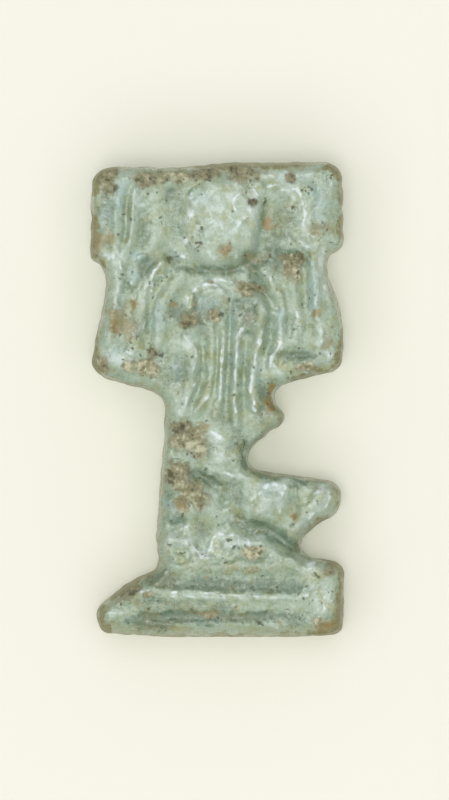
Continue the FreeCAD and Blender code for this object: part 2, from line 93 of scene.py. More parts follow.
# Form of the moulding
DRAFT = math.radians(2.0)
RIM_ROUND_MM = 0.50
RIM_ROUND_SWING = 0.25
RIM_ROUND_LIMITS = (0.6, 1.5)
BACK_ROUND_MM = 0.22
EDGE_WOBBLE_MM = 0.013
BACK_WOBBLE_MM = 0.05
WALL_WOBBLE_MM = 0.02
WALL_COLUMNS_PER_MM = 9.0
WALL_ROWS_PER_MM = 7.0
GROUND_LIFT_MM = 0.08
HEIGHT_LIMIT_MM = FRONT_MM - 0.03
LIMIT_SHARPNESS = 18
EDGE_FALL = (-14.0, 0.0)
EDGE_FALL_SHARE = 0.75
RIDGE_SHARE = 0.95
HOLLOW_SHARE = 0.8
CREST_SHARE = 0.45
CREST_SPREAD = 1.35
CREST_WANDER = 0.6
CREST_BREAKS = (-1.8, 0.3)
JOIN_POWER = 3
WINDOW_REACH = 3
SPOT_REACH = 2.5

# Sun disc, the two arches of the head and the plinth's front: places, shoulder and rise
DISC = (222, 223, 41, 46)
DISC_SHOULDER = (1.12, 0.72)
DISC_RISE_MM = 0.42
HEAD_ARCHES = [(211, 308, 21, 26), (249, 312, 20, 24)]
HEAD_SHOULDER = (1.15, 0.55)
HEAD_RISE_MM = 0.32
PLINTH_SLOPE_ROWS = (551.0, 569.0)
PLINTH_WANDER = 2.0
PLINTH_RISE_MM = 0.50

# Edges of the crust, the pits and the crack, from where they start to where they are full
CRUST_EDGE = (1.40, 0.35)
CRUST_TONE = 0.5
CRUST_BASE = 0.45
CRUST_LUMPS = 0.45
PIT_EDGE = (1.1, 0.2)
PIT_WIDTH = 0.8
CRACK_REACH = 8
CRACK_WIDTH = 1.0
CRACK_DEPTH_MM = 0.18
CRACK_MARK = 1.4

# Random waviness: size in pixels and strength
SPOT_WAVES = {3.0: 1.0, 1.2: 0.6}
CRUST_WAVES = {4.5: 0.12, 1.6: 0.11}
PIT_WAVES = {1.4: 0.35}
SWELL_WAVES_MM = {9.0: 0.030, 4.5: 0.024, 2.4: 0.015, 1.2: 0.006}
GRANULE_WAVES = {1.0: 0.5, 2.0: 0.5}
BACK_WAVES = {14.0: 0.5, 4.0: 0.25}
RIM_WAVES = {5.0: 1.2, 1.5: 1.0}
CRUMB_WAVES = {0.9: 1.0, 2.5: 0.4}
EDGE_WAVE = 3.5
WANDER_WAVE = 3.0
CREST_WAVE = 3.5
WALL_WAVE = 4.0
RIM_ROUND_WAVE = 10.0

# How ragged and how soft the edges of the zones are
PALE_AND_HIGHLIGHT_EDGE = (0.15, 0.7)
DEEP_AND_SHADED_EDGE = (0.1, 0.7)
RIM_EDGE = (0.3, 0.7)
BLUE_EDGE = (0.25, 0.7)
STAIN_EDGE = (0.25, 0.8)
CRUMB_EDGE = (0.3, 0.6)

# Painted highlights, painted into the colour: a thin white line and a wide halo on each crest (strength,
# width, wandering), broken along its length, curls between (strength, size, size of their patches, range of
# the patches) and a milky sheen over the pale and highlight zones
PAINTED_HIGHLIGHT_RISE_MM = 0.02
PAINTED_HIGHLIGHT_FULL_MM = 0.10
PAINTED_HIGHLIGHT_MOST = 1.3
PAINTED_HIGHLIGHT_LINE = (1.0, 0.7, 0.7)
PAINTED_HIGHLIGHT_HALO = (0.35, 2.2, 1.2)
PAINTED_HIGHLIGHT_WAVE = 1.8
PAINTED_HIGHLIGHT_BREAKS = (-1.0, 0.9, 0.35, 0.65)
PAINTED_HIGHLIGHT_PATCHES = (-0.15, 0.10, 0.75, 0.45)
PAINTED_HIGHLIGHT_CURLS = [(1.0, 3.6, 3.2, (-0.1, 0.9)), (0.8, 2.2, 3.0, (0.4, 1.3))]
CURL_WIDTH = 0.2
CURL_BASE = 0.18
CURL_PALE_AND_HIGHLIGHT = 0.75
CURL_EDGE = (-5.0, -12.0)
MILK_AND_SHEEN_SHARE = 0.62
MILK_AND_SHEEN_EXTRA = 1.6
MILK_AND_SHEEN_WAVE = 3.0
MILK_AND_SHEEN_PATCHES = (-1.6, 0.8)

# How far the glaze pools and painted shade darkens the hollows, how wide the rim is worn, where crumbs
# start, and how shares fade over the sides
CAVITY_SIZES = (5.0, 1.0)
POOL_AND_SHADE_BASE = 0.50
POOL_AND_SHADE_CAVITY = 1.3
POOL_AND_SHADE_DEEP = 0.60
POOL_AND_SHADE_PALE = 0.30
POOL_AND_SHADE_MOST = 1.3
POOL_AND_SHADE_ON_SIDES = 0.55
RIM_REACH = 3.0
RIM_REACH_WORN = 11.0
RIM_FALL = (-1.0, -0.25)
RIM_BASE = 0.45
RIM_WORN = 0.55
RIM_ON_SIDES = 0.35
RIM_BACK_LOSS = 0.5
WALL_PASTE_AND_SHADE_BACK_LOSS = 0.7
# Painted shade between the crust's grains and painted light on their tops
GRANULE_SHADE_IN_TONE = 0.34
CRUMB_SHARE = 0.9
CRUMB_START = 1.9
CRUMB_FULL = 3.0
FORWARD = (0.15, 0.75)
BACKWARD = (0.3, 0.8)
WALL_PASTE_AND_SHADE = (0.40, 0.05)
FRONT_ONLY = ("painted_highlight", "crust", "rust", "tan", "pit")

# The loop on the back: its roundings, its bead of paste, its seat and its slow waves (height, run)
LOOP_END_ROUND_MM = 0.25
LOOP_MOUTH_ROUND_MM = 0.14
LOOP_BEAD_MM = 0.22
LOOP_BEAD_REACH_MM = 0.22
LOOP_SEAT_MM = 0.25
LOOP_SHRINK_MM = 0.02
LOOP_WAVES = [(0.02, (3.1, 0.0, 2.0)), (0.015, (0.0, -2.2, 5.3))]

OUTLINE = [
    (91, 205), (92, 184), (97, 173), (107, 167.5), (130, 166.5), (165, 167), (195, 166.5), (215, 164.5),
    (240, 163), (290, 162.5), (320, 162), (332, 164.5), (340, 171), (343, 184), (343.5, 215), (343, 242),
    (338, 250), (329, 257), (327.5, 272), (331, 285), (338, 302), (342, 325), (344, 345), (342, 361),
    (335, 369.5), (320, 374.5), (300, 380), (282, 387), (275, 395), (277, 404), (284, 413), (285, 419),
    (279, 426), (268, 434), (255, 445), (249, 457), (253, 467), (265, 471), (290, 474.5), (315, 478),
    (332, 481.5), (341, 491), (341, 504), (332, 516), (315, 527), (304, 538), (302, 548), (308, 555.5),
    (325, 559.5), (338, 562.5), (343.5, 572), (343.5, 600), (343, 622), (338, 632), (322, 636), (290, 637),
    (200, 637), (150, 636), (115, 633.5), (101, 629.5), (96.5, 617), (99, 605.5), (112, 594), (130, 581.5),
    (147, 573), (155.5, 568), (158.5, 559), (157.5, 549), (156, 539), (157.5, 522), (158.5, 500),
    (161, 470), (163.5, 440), (165.5, 415), (163, 402), (153, 392), (135, 387), (113, 381.5), (98, 374),
    (92, 363), (92.5, 351), (98, 328), (103, 303), (105.5, 284), (102, 267), (93, 260.5), (90, 250),
]

# Broad ridges: half width in pixels, rise in millimetres, places along the middle
BROAD_RIDGES = [
    # Left hand and arm
    (7.5, 0.26, [(124, 180), (118, 205), (116, 235), (114, 256)]),
    (8.5, 0.3, [(114, 254), (116, 285), (113, 312), (108, 340)]),
    (6.0, 0.24, [(135, 190), (134, 215), (132, 238), (126, 254), (121, 268), (117, 296)]),
    (7.0, 0.16, [(153, 240), (146, 252), (138, 264), (132, 282)]),
    (7.5, 0.24, [(165, 262), (156, 271), (148, 286), (141, 304), (139, 325), (136, 346)]),
    (8.0, 0.18, [(184, 272), (174, 287), (164, 302), (160, 322), (160, 340)]),
    (10.0, 0.24, [(114, 345), (118, 362), (132, 352)]),
    (6.0, 0.18, [(120, 177), (140, 176)]),
    # Right hand and arm
    (9.0, 0.28, [(262, 174), (290, 174), (312, 176), (321, 192), (320, 222)]),
    (7.0, 0.26, [(318, 236), (314, 262), (316, 290), (319, 320), (320, 344)]),
    (7.5, 0.18, [(292, 284), (296, 304), (297, 325), (296, 340)]),
    (8.0, 0.2, [(262, 268), (272, 284), (279, 305), (281, 328), (279, 345), (272, 362)]),
    (9.0, 0.16, [(286, 343), (305, 343), (322, 340)]),
    (6.0, 0.16, [(285, 366), (305, 364), (328, 356)]),
    (6.0, 0.2, [(300, 240), (310, 246), (322, 243)]),
    # Wig
    (6.5, 0.26, [(187, 338), (192, 355), (191, 375), (187, 395), (181, 415)]),
    (6.0, 0.22, [(211, 326), (212, 350), (211, 372), (206, 392), (197, 412)]),
    (5.0, 0.22, [(224, 326), (223, 350), (221, 375), (219, 400), (214, 418)]),
    (6.0, 0.27, [(238, 330), (237, 350), (236, 375), (234, 400), (236, 425)]),
    (7.0, 0.27, [(262, 312), (259, 340), (255, 362), (253, 385), (255, 405)]),
    # Body and legs
    (16.0, 0.24, [(217, 436), (222, 455)]),
    (5.0, 0.16, [(206, 470), (228, 474), (246, 477)]),
    (11.0, 0.18, [(262, 420), (272, 418)]),
    (13.0, 0.36, [(262, 494), (270, 502), (262, 512)]),
    (10.5, 0.38, [(318, 496), (312, 508), (300, 524), (294, 536)]),
    (9.0, 0.34, [(226, 546), (250, 544), (272, 550), (290, 558)]),
    (6.0, 0.26, [(170, 540), (186, 543), (197, 556)]),
    (10.0, 0.2, [(178, 475), (190, 488)]),
    (13.0, 0.2, [(184, 436), (196, 442)]),
    (16.0, 0.18, [(190, 508), (212, 512)]),
]

# Broad hollows: half width in pixels, depth in millimetres, places along the middle
BROAD_HOLLOWS = [
    # Sun disc and head
    (6.5, 0.22, [(164, 248), (170, 258), (180, 266)]),
    (6.5, 0.2, [(266, 204), (265, 216), (263, 230), (260, 246)]),
    (6.5, 0.3, [(188, 268), (205, 270), (228, 269), (246, 264)]),
    (9.0, 0.2, [(246, 258), (254, 264), (262, 254)]),
    (6.0, 0.24, [(253, 270), (260, 283), (268, 296), (276, 308)]),
    # Left hand and arm
    (3.5, 0.12, [(127, 198), (126, 218), (125, 238)]),
    (8.0, 0.1, [(148, 200), (147, 222), (143, 244)]),
    (9.0, 0.1, [(170, 192), (172, 215), (176, 236)]),
    (6.0, 0.13, [(152, 300), (148, 322), (147, 346)]),
    (6.0, 0.12, [(171, 312), (172, 335), (170, 360), (168, 380)]),
    (5.5, 0.11, [(168, 275), (160, 290), (153, 303)]),
    # Right hand and arm
    (12.0, 0.2, [(283, 203), (284, 222), (282, 238)]),
    (5.0, 0.12, [(305, 268), (306, 290), (304, 310)]),
    (4.5, 0.09, [(287, 292), (289, 312), (288, 335)]),
    (7.0, 0.08, [(279, 357), (292, 355), (306, 356)]),
    (7.0, 0.26, [(281, 253), (294, 258), (300, 264)]),
    # Wig
    (4.5, 0.12, [(203, 335), (203, 365), (200, 388), (193, 402)]),
    (2.5, 0.05, [(217, 330), (217, 360), (215, 390)]),
    (4.5, 0.1, [(230, 318), (229, 350), (228, 385), (227, 420)]),
    (4.0, 0.09, [(245, 335), (244, 370), (243, 405)]),
    (6.0, 0.14, [(271, 318), (269, 345), (264, 370), (266, 395)]),
    # Body and legs
    (7.0, 0.24, [(212, 482), (222, 489), (226, 502)]),
    (7.5, 0.2, [(196, 474), (204, 476), (214, 481)]),
    (7.0, 0.16, [(236, 490), (237, 505), (236, 520)]),
    (7.0, 0.17, [(293, 484), (292, 500), (293, 520)]),
    (10.0, 0.4, [(238, 520), (254, 525), (268, 530), (282, 540), (298, 549)]),
    (8.0, 0.24, [(198, 524), (202, 538), (204, 548)]),
    (4.0, 0.16, [(163, 522), (172, 526), (184, 522)]),
    # Plinth
    (4.0, 0.05, [(170, 562), (230, 563), (290, 561)]),
    (9.0, 0.26, [(170, 577), (230, 578), (295, 580)]),
    (7.0, 0.22, [(150, 578), (165, 583), (230, 585), (296, 587)]),
    (7.0, 0.16, [(125, 606), (200, 605), (285, 606)]),
    (8.0, 0.3, [(132, 617), (200, 616), (280, 615)]),
]

# Fine crests that catch the light: half width in pixels, rise in millimetres, places
CRESTS = [
    # Sun disc and head
    (2.4, 0.12, [(197, 187), (191, 194), (188, 204), (188, 214)]),
    (4.0, 0.08, [(197, 206), (196, 213)]),
    (1.8, 0.08, [(201, 221), (208, 224), (215, 220)]),
    (2.0, 0.12, [(258, 195), (253, 189), (244, 191), (236, 196), (234, 203), (236, 209)]),
    (1.8, 0.09, [(236, 203), (242, 204), (248, 201)]),
    (2.2, 0.13, [(251, 209), (249, 215), (241, 221), (236, 229), (230, 234), (223, 234)]),
    (1.8, 0.07, [(220, 222), (223, 230)]),
    (1.6, 0.07, [(211, 237), (217, 237)]),
    (2.2, 0.08, [(170, 243), (176, 251), (184, 258)]),
    (3.0, 0.05, [(209, 252), (214, 258)]),
    (1.6, 0.05, [(238, 246), (236, 257)]),
    (2.0, 0.11, [(209, 281), (218, 280), (232, 282)]),
    (2.0, 0.11, [(188, 305), (188, 298), (193, 291), (200, 286), (210, 284), (220, 288), (226, 297)]),
    (3.0, 0.08, [(224, 292), (229, 298)]),
    (1.8, 0.09, [(261, 301), (265, 308), (267, 318)]),
    (2.0, 0.07, [(241, 319), (245, 314)]),
    # Left hand and arm
    (2.0, 0.09, [(135, 189), (133, 202), (132, 220), (130, 238), (126, 250), (120, 259), (121, 268)]),
    (1.8, 0.06, [(150, 200), (144, 204), (147, 210)]),
    (1.8, 0.06, [(122, 180), (130, 177), (138, 174)]),
    (1.8, 0.06, [(135, 191), (142, 188), (150, 190)]),
    (6.0, 0.07, [(110, 258), (118, 255)]),
    (1.9, 0.09, [(160, 263), (155, 270), (150, 279), (145, 288)]),
    (1.8, 0.08, [(163, 269), (163, 276)]),
    (2.6, 0.07, [(134, 270), (131, 283)]),
    (2.0, 0.08, [(119, 288), (115, 300), (117, 306)]),
    (1.8, 0.08, [(152, 283), (151, 293), (147, 299)]),
    (1.6, 0.08, [(136, 303), (139, 298), (144, 300), (144, 307)]),
    (1.8, 0.07, [(145, 322), (142, 333), (138, 341)]),
    (2.2, 0.08, [(126, 352), (134, 354)]),
    (2.0, 0.07, [(110, 358), (114, 366), (122, 368)]),
    (1.8, 0.06, [(104, 330), (106, 342)]),
    # Right hand and arm
    (2.0, 0.11, [(266, 187), (276, 185), (283, 189), (290, 190), (296, 189), (300, 194), (302, 199)]),
    (2.2, 0.1, [(304, 208), (305, 216), (303, 225), (306, 232), (312, 236)]),
    (2.0, 0.08, [(300, 241), (305, 247), (311, 250)]),
    (1.8, 0.07, [(313, 177), (317, 181), (318, 189)]),
    (1.8, 0.07, [(331, 179), (332, 188)]),
    (2.2, 0.06, [(264, 174), (275, 172), (288, 172)]),
    (1.8, 0.06, [(323, 256), (326, 278), (328, 290), (330, 303)]),
    (2.0, 0.1, [(281, 313), (280, 328), (280, 342), (277, 350), (271, 358), (269, 368)]),
    (2.0, 0.08, [(284, 347), (279, 350)]),
    (2.4, 0.09, [(297, 312), (298, 325)]),
    (2.0, 0.09, [(318, 320), (322, 333), (320, 346)]),
    (2.2, 0.06, [(316, 288), (315, 306)]),
    (1.8, 0.07, [(271, 276), (271, 288)]),
    (2.6, 0.08, [(325, 358), (331, 353)]),
    # Wig
    (2.2, 0.1, [(184, 336), (190, 341), (196, 350), (196, 362), (192, 372)]),
    (1.8, 0.09, [(195, 383), (191, 393), (187, 401), (185, 411)]),
    (1.8, 0.09, [(211, 384), (209, 395), (203, 402), (197, 411)]),
    (1.8, 0.04, [(211, 328), (211, 345), (213, 362)]),
    (1.8, 0.1, [(224, 334), (222, 355), (221, 380), (219, 400)]),
    (2.2, 0.11, [(242, 329), (238, 342), (236, 360), (236, 380), (234, 400), (236, 412)]),
    (2.2, 0.12, [(262, 332), (259, 345), (254, 361), (251, 378), (250, 392), (254, 403), (255, 411)]),
    (1.8, 0.07, [(257, 362), (256, 370)]),
    # Body and legs
    (2.8, 0.1, [(212, 432), (221, 438)]),
    (2.2, 0.08, [(214, 454), (222, 457), (230, 458)]),
    (2.4, 0.1, [(228, 474), (236, 478), (244, 476)]),
    (1.8, 0.07, [(249, 481), (245, 487)]),
    (1.8, 0.06, [(207, 474), (213, 474)]),
    (2.7, 0.12, [(265, 486), (273, 484), (281, 485), (284, 488)]),
    (2.4, 0.12, [(283, 493), (281, 502), (280, 512)]),
    (2.0, 0.09, [(261, 491), (255, 496), (251, 501)]),
    (2.3, 0.11, [(320, 491), (326, 488), (329, 492)]),
    (2.5, 0.12, [(330, 497), (327, 505), (320, 510), (312, 515), (308, 523), (303, 531)]),
    (1.6, 0.06, [(249, 519), (255, 517)]),
    (2.6, 0.13, [(185, 532), (187, 529), (190, 536), (193, 545), (199, 553), (204, 557)]),
    (2.6, 0.13, [(205, 556), (210, 548), (213, 539), (217, 534)]),
    (2.7, 0.13, [(217, 534), (228, 535), (240, 534)]),
    (2.3, 0.1, [(243, 536), (248, 540), (249, 546)]),
    (1.8, 0.08, [(194, 557), (204, 559), (214, 558)]),
    (2.0, 0.1, [(165, 545), (170, 548), (174, 548)]),
    (1.8, 0.07, [(166, 539), (170, 536), (174, 540)]),
    # Plinth
    (1.8, 0.07, [(280, 560), (292, 567), (300, 570)]),
    (2.0, 0.1, [(308, 570), (315, 574)]),
    (2.0, 0.085, [(166, 593), (188, 591), (215, 594), (250, 596), (280, 598), (300, 598), (312, 593),
                  (322, 591)]),
    (1.8, 0.07, [(166, 597), (188, 596), (212, 598), (250, 599), (268, 600)]),
    (1.8, 0.09, [(140, 592), (149, 590)]),
    (2.2, 0.08, [(322, 602), (326, 611)]),
    (3.5, 0.06, [(108, 613), (120, 613), (130, 611)]),
    (3.0, 0.06, [(272, 626), (277, 628)]),
]

# Small pits: place, radius in pixels, depth in millimetres
PITS = [
    (200, 233, 4.0, 0.16), (198, 223, 2.5, 0.12), (252, 200, 4.0, 0.14), (168, 259, 4.0, 0.14),
    (123, 275, 2.0, 0.1), (132, 272, 1.8, 0.08), (148, 194, 1.8, 0.07), (229, 301, 2.6, 0.12),
    (205, 470, 2.4, 0.12), (253, 588, 1.6, 0.16), (285, 495, 1.2, 0.08), (307, 513, 1.4, 0.08),
    (237, 549, 4.5, 0.1), (261, 546, 2.0, 0.1), (234, 461, 1.4, 0.08), (237, 444, 1.8, 0.08),
    (238, 385, 1.6, 0.08), (192, 292, 2.2, 0.1), (160, 355, 3.0, 0.1), (152, 378, 2.4, 0.08),
    (298, 327, 2.0, 0.07), (193, 357, 2.0, 0.07), (222, 248, 3.0, 0.06), (311, 190, 3.0, 0.05),
    (307, 262, 2.4, 0.14), (128, 623, 1.6, 0.08), (222, 315, 2.8, 0.12), (249, 460, 2.0, 0.1),
]
CRACK = [(244.5, 441), (243.5, 447), (241.5, 452), (242, 458)]

# Burial crust: middle, half width and half height in pixels, a lean in degrees where it has one,
# thickness in millimetres and colour share, a low share also painting the shadow on a lump's shaded side
CRUSTS = [
    (186, 438, 21, 15, 20, 0.13, 0.7), (164, 176, 9, 7, 0.06, 0.15), (200, 447, 10, 11, 0.08, 0.85),
    # The two spots of share 0.15 on this line paint the shadow along the tops of crusts
    (178, 474, 18, 14, 30, 0.13, 0.45), (178, 428, 12, 7, 10, 0.1, 0.15), (298, 259, 8, 6, 0.08, 0.15),
    (168, 475, 8, 10, 0.1, 0.1), (191, 490, 20, 15, 30, 0.14, 0.6), (214, 316, 7, 8, 0.1, 0.85),
    (189, 319, 11, 9, 0.1, 0.25), (248, 289, 16, 8, 10, 0.1, 0.45), (292, 270, 11, 13, -20, 0.12, 0.7),
    (252, 202, 6, 5, 0.06, 0.35), (107, 181, 12, 15, 0.07, 0.18), (148, 180, 18, 7, 0.07, 0.35),
    (180, 175, 18, 8, 0.07, 0.6), (208, 172, 22, 8, 0.08, 0.4), (240, 172, 21, 10, 0.08, 0.35),
    (101, 367, 10, 11, 0.06, 0.4), (146, 368, 16, 9, 15, 0.07, 0.85), (127, 365, 6, 5, 0.06, 0.9),
    (152, 352, 6, 7, 0.07, 0.2), (306, 367, 12, 5, -8, 0.05, 0.8), (252, 551, 13, 8, 0.05, 0.85),
    (330, 572, 8, 10, 30, 0.04, 0.4), (128, 593, 13, 9, -25, 0.07, 0.2), (148, 595, 6, 4, 0.05, 0.35),
    (318, 622, 6, 5, 20, 0.07, 0.8), (283, 257, 5, 5, 0.05, 0.3), (291, 178, 6, 6, 0.04, 0.5),
    (296, 262, 8, 7, 0.08, 0.2), (210, 282, 5, 3, 0.04, 0.6),
]

# Zones of the surface, by strength: middle, half width and half height in pixels, and a lean in degrees
# where a spot has one. First rust and tan stains, and where dark crumbs sit in the glaze
RUST_STAINS = {
    # This spot, in the notch under the right elbow, is rust and painted shade together
    1.6: [(273, 397, 6, 13)],
    1.0: [(269, 222, 6, 8), (183, 505, 6, 8)],
    0.9: [(225, 250, 8, 6), (315, 313, 5, 4), (293, 516, 4, 5), (325, 625, 14, 7, -15)],
    0.8: [(134, 306, 6, 5), (315, 369, 7, 4), (113, 325, 4, 12)],
    0.7: [(172, 304, 5, 4), (200, 428, 6, 4)],
    0.6: [(206, 577, 3, 3), (208, 615, 12, 4)],
    0.5: [(252, 569, 8, 4), (250, 317, 7, 8), (178, 391, 4, 4)],
    0.4: [(127, 208, 4, 7)],
    0.3: [(104, 236, 8, 6), (225, 577, 4, 6)],
}
TAN_STAINS = {
    1.3: [(272, 399, 5, 11, 5)],
    1.2: [(100, 242, 12, 13)],
    1.0: [(124, 322, 17, 17, 30)],
    0.9: [(322, 229, 11, 7)],
    0.8: [(326, 346, 7, 7)],
    0.7: [(252, 256, 8, 7), (133, 333, 10, 10)],
    0.6: [(150, 630, 50, 4, 2)],
    0.5: [(252, 203, 6, 5), (324, 200, 4, 6), (162, 544, 5, 8), (290, 631, 50, 5), (115, 600, 10, 6)],
    0.45: [(268, 420, 14, 10, -30)],
    0.4: [(333, 512, 8, 9, -40), (182, 390, 5, 5), (240, 568, 70, 3), (230, 616, 40, 3), (186, 183, 14, 5),
          (203, 503, 12, 5)],
    0.35: [(302, 575, 16, 4), (214, 418, 8, 10), (170, 606, 60, 5)],
    0.3: [(240, 310, 10, 8)],
    0.2: [(283, 215, 14, 24)],
    0.18: [(170, 225, 12, 24)],
}
CRUMBS = {
    1.0: [(155, 275, 10, 22, 30), (272, 398, 6, 14), (197, 230, 9, 13), (168, 259, 8, 7), (252, 203, 9, 9),
          (206, 474, 7, 6), (246, 549, 20, 10), (100, 240, 12, 16), (184, 455, 24, 40), (294, 268, 14, 14)],
    0.9: [(190, 176, 60, 8), (150, 365, 24, 14), (120, 595, 20, 10), (200, 318, 22, 12)],
    0.8: [(240, 309, 14, 7), (124, 275, 8, 6), (330, 205, 12, 40), (325, 590, 14, 34)],
    0.7: [(135, 345, 20, 20), (224, 247, 8, 6), (320, 350, 18, 16), (168, 545, 14, 22)],
    0.6: [(300, 225, 12, 30), (153, 300, 18, 12, 40)],
}

# Where the rim is worn wide down to the olive paste
RIM_ZONES = {
    1.0: [(341, 570, 12, 14), (215, 166, 30, 7), (99, 240, 10, 22), (341, 573, 12, 12), (328, 618, 20, 18),
          (334, 173, 15, 12), (99, 175, 15, 18), (96, 362, 11, 22), (339, 597, 8, 36), (102, 614, 13, 22)],
    0.9: [(324, 616, 16, 16), (340, 350, 9, 20), (220, 165, 40, 6), (94, 236, 8, 30), (322, 632, 26, 7),
          (126, 591, 32, 10, -36)],
    0.8: [(332, 562, 12, 6, 10)],
    0.7: [(340, 196, 9, 40), (341, 362, 8, 16)],
    0.6: [(306, 378, 28, 6, -15), (240, 164, 90, 4)],
    0.5: [(120, 383, 26, 5, 14), (322, 520, 18, 6, -40), (281, 418, 5, 10), (155, 562, 6, 10)],
    0.4: [(180, 636, 80, 5), (340, 496, 7, 14), (296, 475, 40, 4, 6)],
}

# Where the glaze is paler or carries painted highlights, where it is darker from deeper pooling and painted
# shade, and where it is bluer
PALE_AND_HIGHLIGHT_ZONES = {
    1.4: [(306, 559, 7, 5), (227, 297, 6, 7)],
    1.3: [(310, 561, 8, 5), (187, 238, 5, 9), (326, 284, 5, 10), (318, 488, 9, 6)],
    1.25: [(204, 553, 13, 6)],
    1.2: [(141, 203, 7, 7), (190, 208, 7, 11), (187, 543, 8, 10)],
    1.0: [(227, 211, 8, 7), (330, 366, 8, 6), (255, 206, 8, 9), (227, 298, 6, 7), (306, 560, 8, 5),
          (312, 568, 11, 9), (227, 296, 7, 6), (329, 356, 6, 6)],
    0.9: [(274, 487, 12, 5), (260, 536, 12, 6, 10), (232, 517, 7, 6), (269, 175, 13, 9), (200, 552, 30, 7),
          (184, 406, 10, 12), (254, 187, 14, 9), (326, 291, 5, 13), (322, 268, 5, 20), (320, 487, 10, 7),
          (113, 256, 11, 8), (191, 344, 9, 10), (216, 436, 9, 6, 20)],
    0.8: [(328, 500, 7, 8), (314, 590, 8, 8), (304, 367, 9, 6), (242, 634, 9, 4), (244, 337, 8, 7),
          (211, 331, 8, 6), (189, 216, 7, 20), (144, 302, 9, 9), (214, 216, 30, 32), (118, 359, 15, 7, 20),
          (305, 222, 5, 22)],
    0.7: [(116, 291, 8, 14), (288, 188, 12, 14), (216, 495, 6, 8), (260, 364, 7, 12), (256, 195, 8, 16),
          (190, 212, 9, 12), (282, 371, 22, 7), (219, 453, 15, 8, 15), (236, 477, 17, 5, 5),
          (229, 541, 19, 9), (170, 541, 8, 8), (322, 598, 9, 20)],
    0.6: [(214, 266, 10, 4), (246, 186, 20, 7), (328, 366, 12, 6), (143, 208, 7, 14), (131, 174, 8, 6),
          (292, 177, 36, 8), (144, 195, 14, 7), (214, 290, 25, 8), (199, 551, 15, 7, 20), (119, 613, 17, 5),
          (298, 318, 5, 12), (319, 332, 5, 15), (306, 243, 14, 7), (188, 300, 5, 10)],
    0.55: [(268, 498, 20, 18)],
    0.5: [(236, 345, 6, 12), (246, 553, 13, 7), (235, 596, 76, 5, 1), (135, 276, 5, 9, 20),
          (183, 400, 9, 16, 20), (252, 400, 6, 22), (264, 310, 4, 16, -10), (212, 256, 9, 8)],
    0.4: [(225, 339, 18, 9), (311, 503, 15, 17), (153, 240, 6, 34), (195, 560, 34, 4), (175, 342, 8, 7),
          (214, 626, 20, 5), (190, 243, 12, 12, 30)],
    0.3: [(290, 624, 30, 6)],
}
DEEP_AND_SHADED_ZONES = {
    1.5: [(271, 404, 5, 6), (246, 463, 5, 7)],
    1.4: [(155, 574, 7, 6), (150, 620, 26, 4), (215, 619, 40, 4)],
    1.3: [(257, 264, 9, 6), (303, 482, 6, 5), (204, 588, 34, 4), (270, 590, 40, 4), (208, 620, 15, 7),
          (273, 403, 5, 7), (150, 575, 10, 6, -30), (190, 617, 50, 7), (151, 619, 16, 7)],
    1.2: [(299, 548, 5, 6), (271, 399, 6, 9)],
    1.1: [(199, 318, 9, 9), (156, 622, 20, 9)],
    1.0: [(181, 313, 10, 10), (297, 259, 9, 6), (197, 475, 8, 6), (246, 525, 8, 5), (201, 583, 19, 7),
          (165, 583, 12, 10), (154, 577, 11, 7, -20), (204, 314, 14, 10), (152, 620, 36, 6),
          (252, 617, 44, 5), (276, 252, 12, 17), (270, 533, 34, 8, 22), (235, 586, 78, 7, 1),
          (212, 618, 84, 6), (155, 576, 14, 5, -25)],
    0.9: [(314, 479, 8, 4, 8), (147, 266, 13, 10, -40), (253, 592, 8, 9), (210, 449, 6, 9),
          (295, 621, 18, 7), (245, 464, 6, 7), (266, 406, 7, 14), (175, 517, 10, 8), (239, 308, 9, 9),
          (188, 586, 42, 7), (278, 588, 36, 6), (296, 482, 8, 8), (238, 499, 11, 8), (214, 270, 34, 5),
          (252, 260, 12, 10), (258, 283, 5, 18, -35), (206, 478, 14, 6, 20), (296, 256, 14, 8, 20),
          (260, 468, 22, 5, 12)],
    0.8: [(135, 328, 7, 13), (325, 617, 11, 9), (262, 391, 9, 8, 30), (222, 611, 14, 9),
          (150, 578, 12, 14, -30), (184, 583, 42, 8), (250, 316, 12, 20), (295, 546, 8, 11),
          (300, 356, 24, 5), (305, 545, 8, 12)],
    0.7: [(117, 606, 9, 5), (106, 209, 9, 12), (266, 476, 14, 5, 10), (178, 370, 12, 14), (176, 194, 14, 9),
          (258, 417, 12, 9), (200, 309, 10, 17), (238, 443, 11, 12), (172, 500, 9, 14), (284, 240, 10, 12)],
    0.6: [(112, 612, 18, 16), (270, 386, 8, 12), (214, 306, 14, 10), (145, 222, 6, 24), (226, 490, 12, 12),
          (264, 212, 5, 32), (294, 500, 5, 20), (203, 531, 8, 12), (172, 258, 9, 8, 40), (270, 400, 10, 16)],
    0.55: [(160, 606, 66, 12)],
    0.5: [(132, 282, 8, 12), (200, 622, 60, 6), (228, 250, 16, 10), (320, 616, 24, 8), (204, 238, 9, 10),
          (192, 318, 18, 12)],
    0.45: [(284, 216, 16, 28), (172, 216, 10, 26)],
    0.4: [(107, 225, 10, 24), (184, 312, 14, 12), (150, 600, 22, 30), (148, 322, 4, 26), (245, 506, 9, 8),
          (163, 522, 5, 10)],
    0.35: [(232, 571, 40, 8)],
    0.3: [(165, 364, 14, 22), (233, 425, 12, 30)],
    0.25: [(268, 350, 8, 34)],
    0.2: [(229, 370, 4, 52), (203, 366, 4, 34), (245, 560, 80, 5)],
    0.1: [(244, 372, 4, 40)],
}
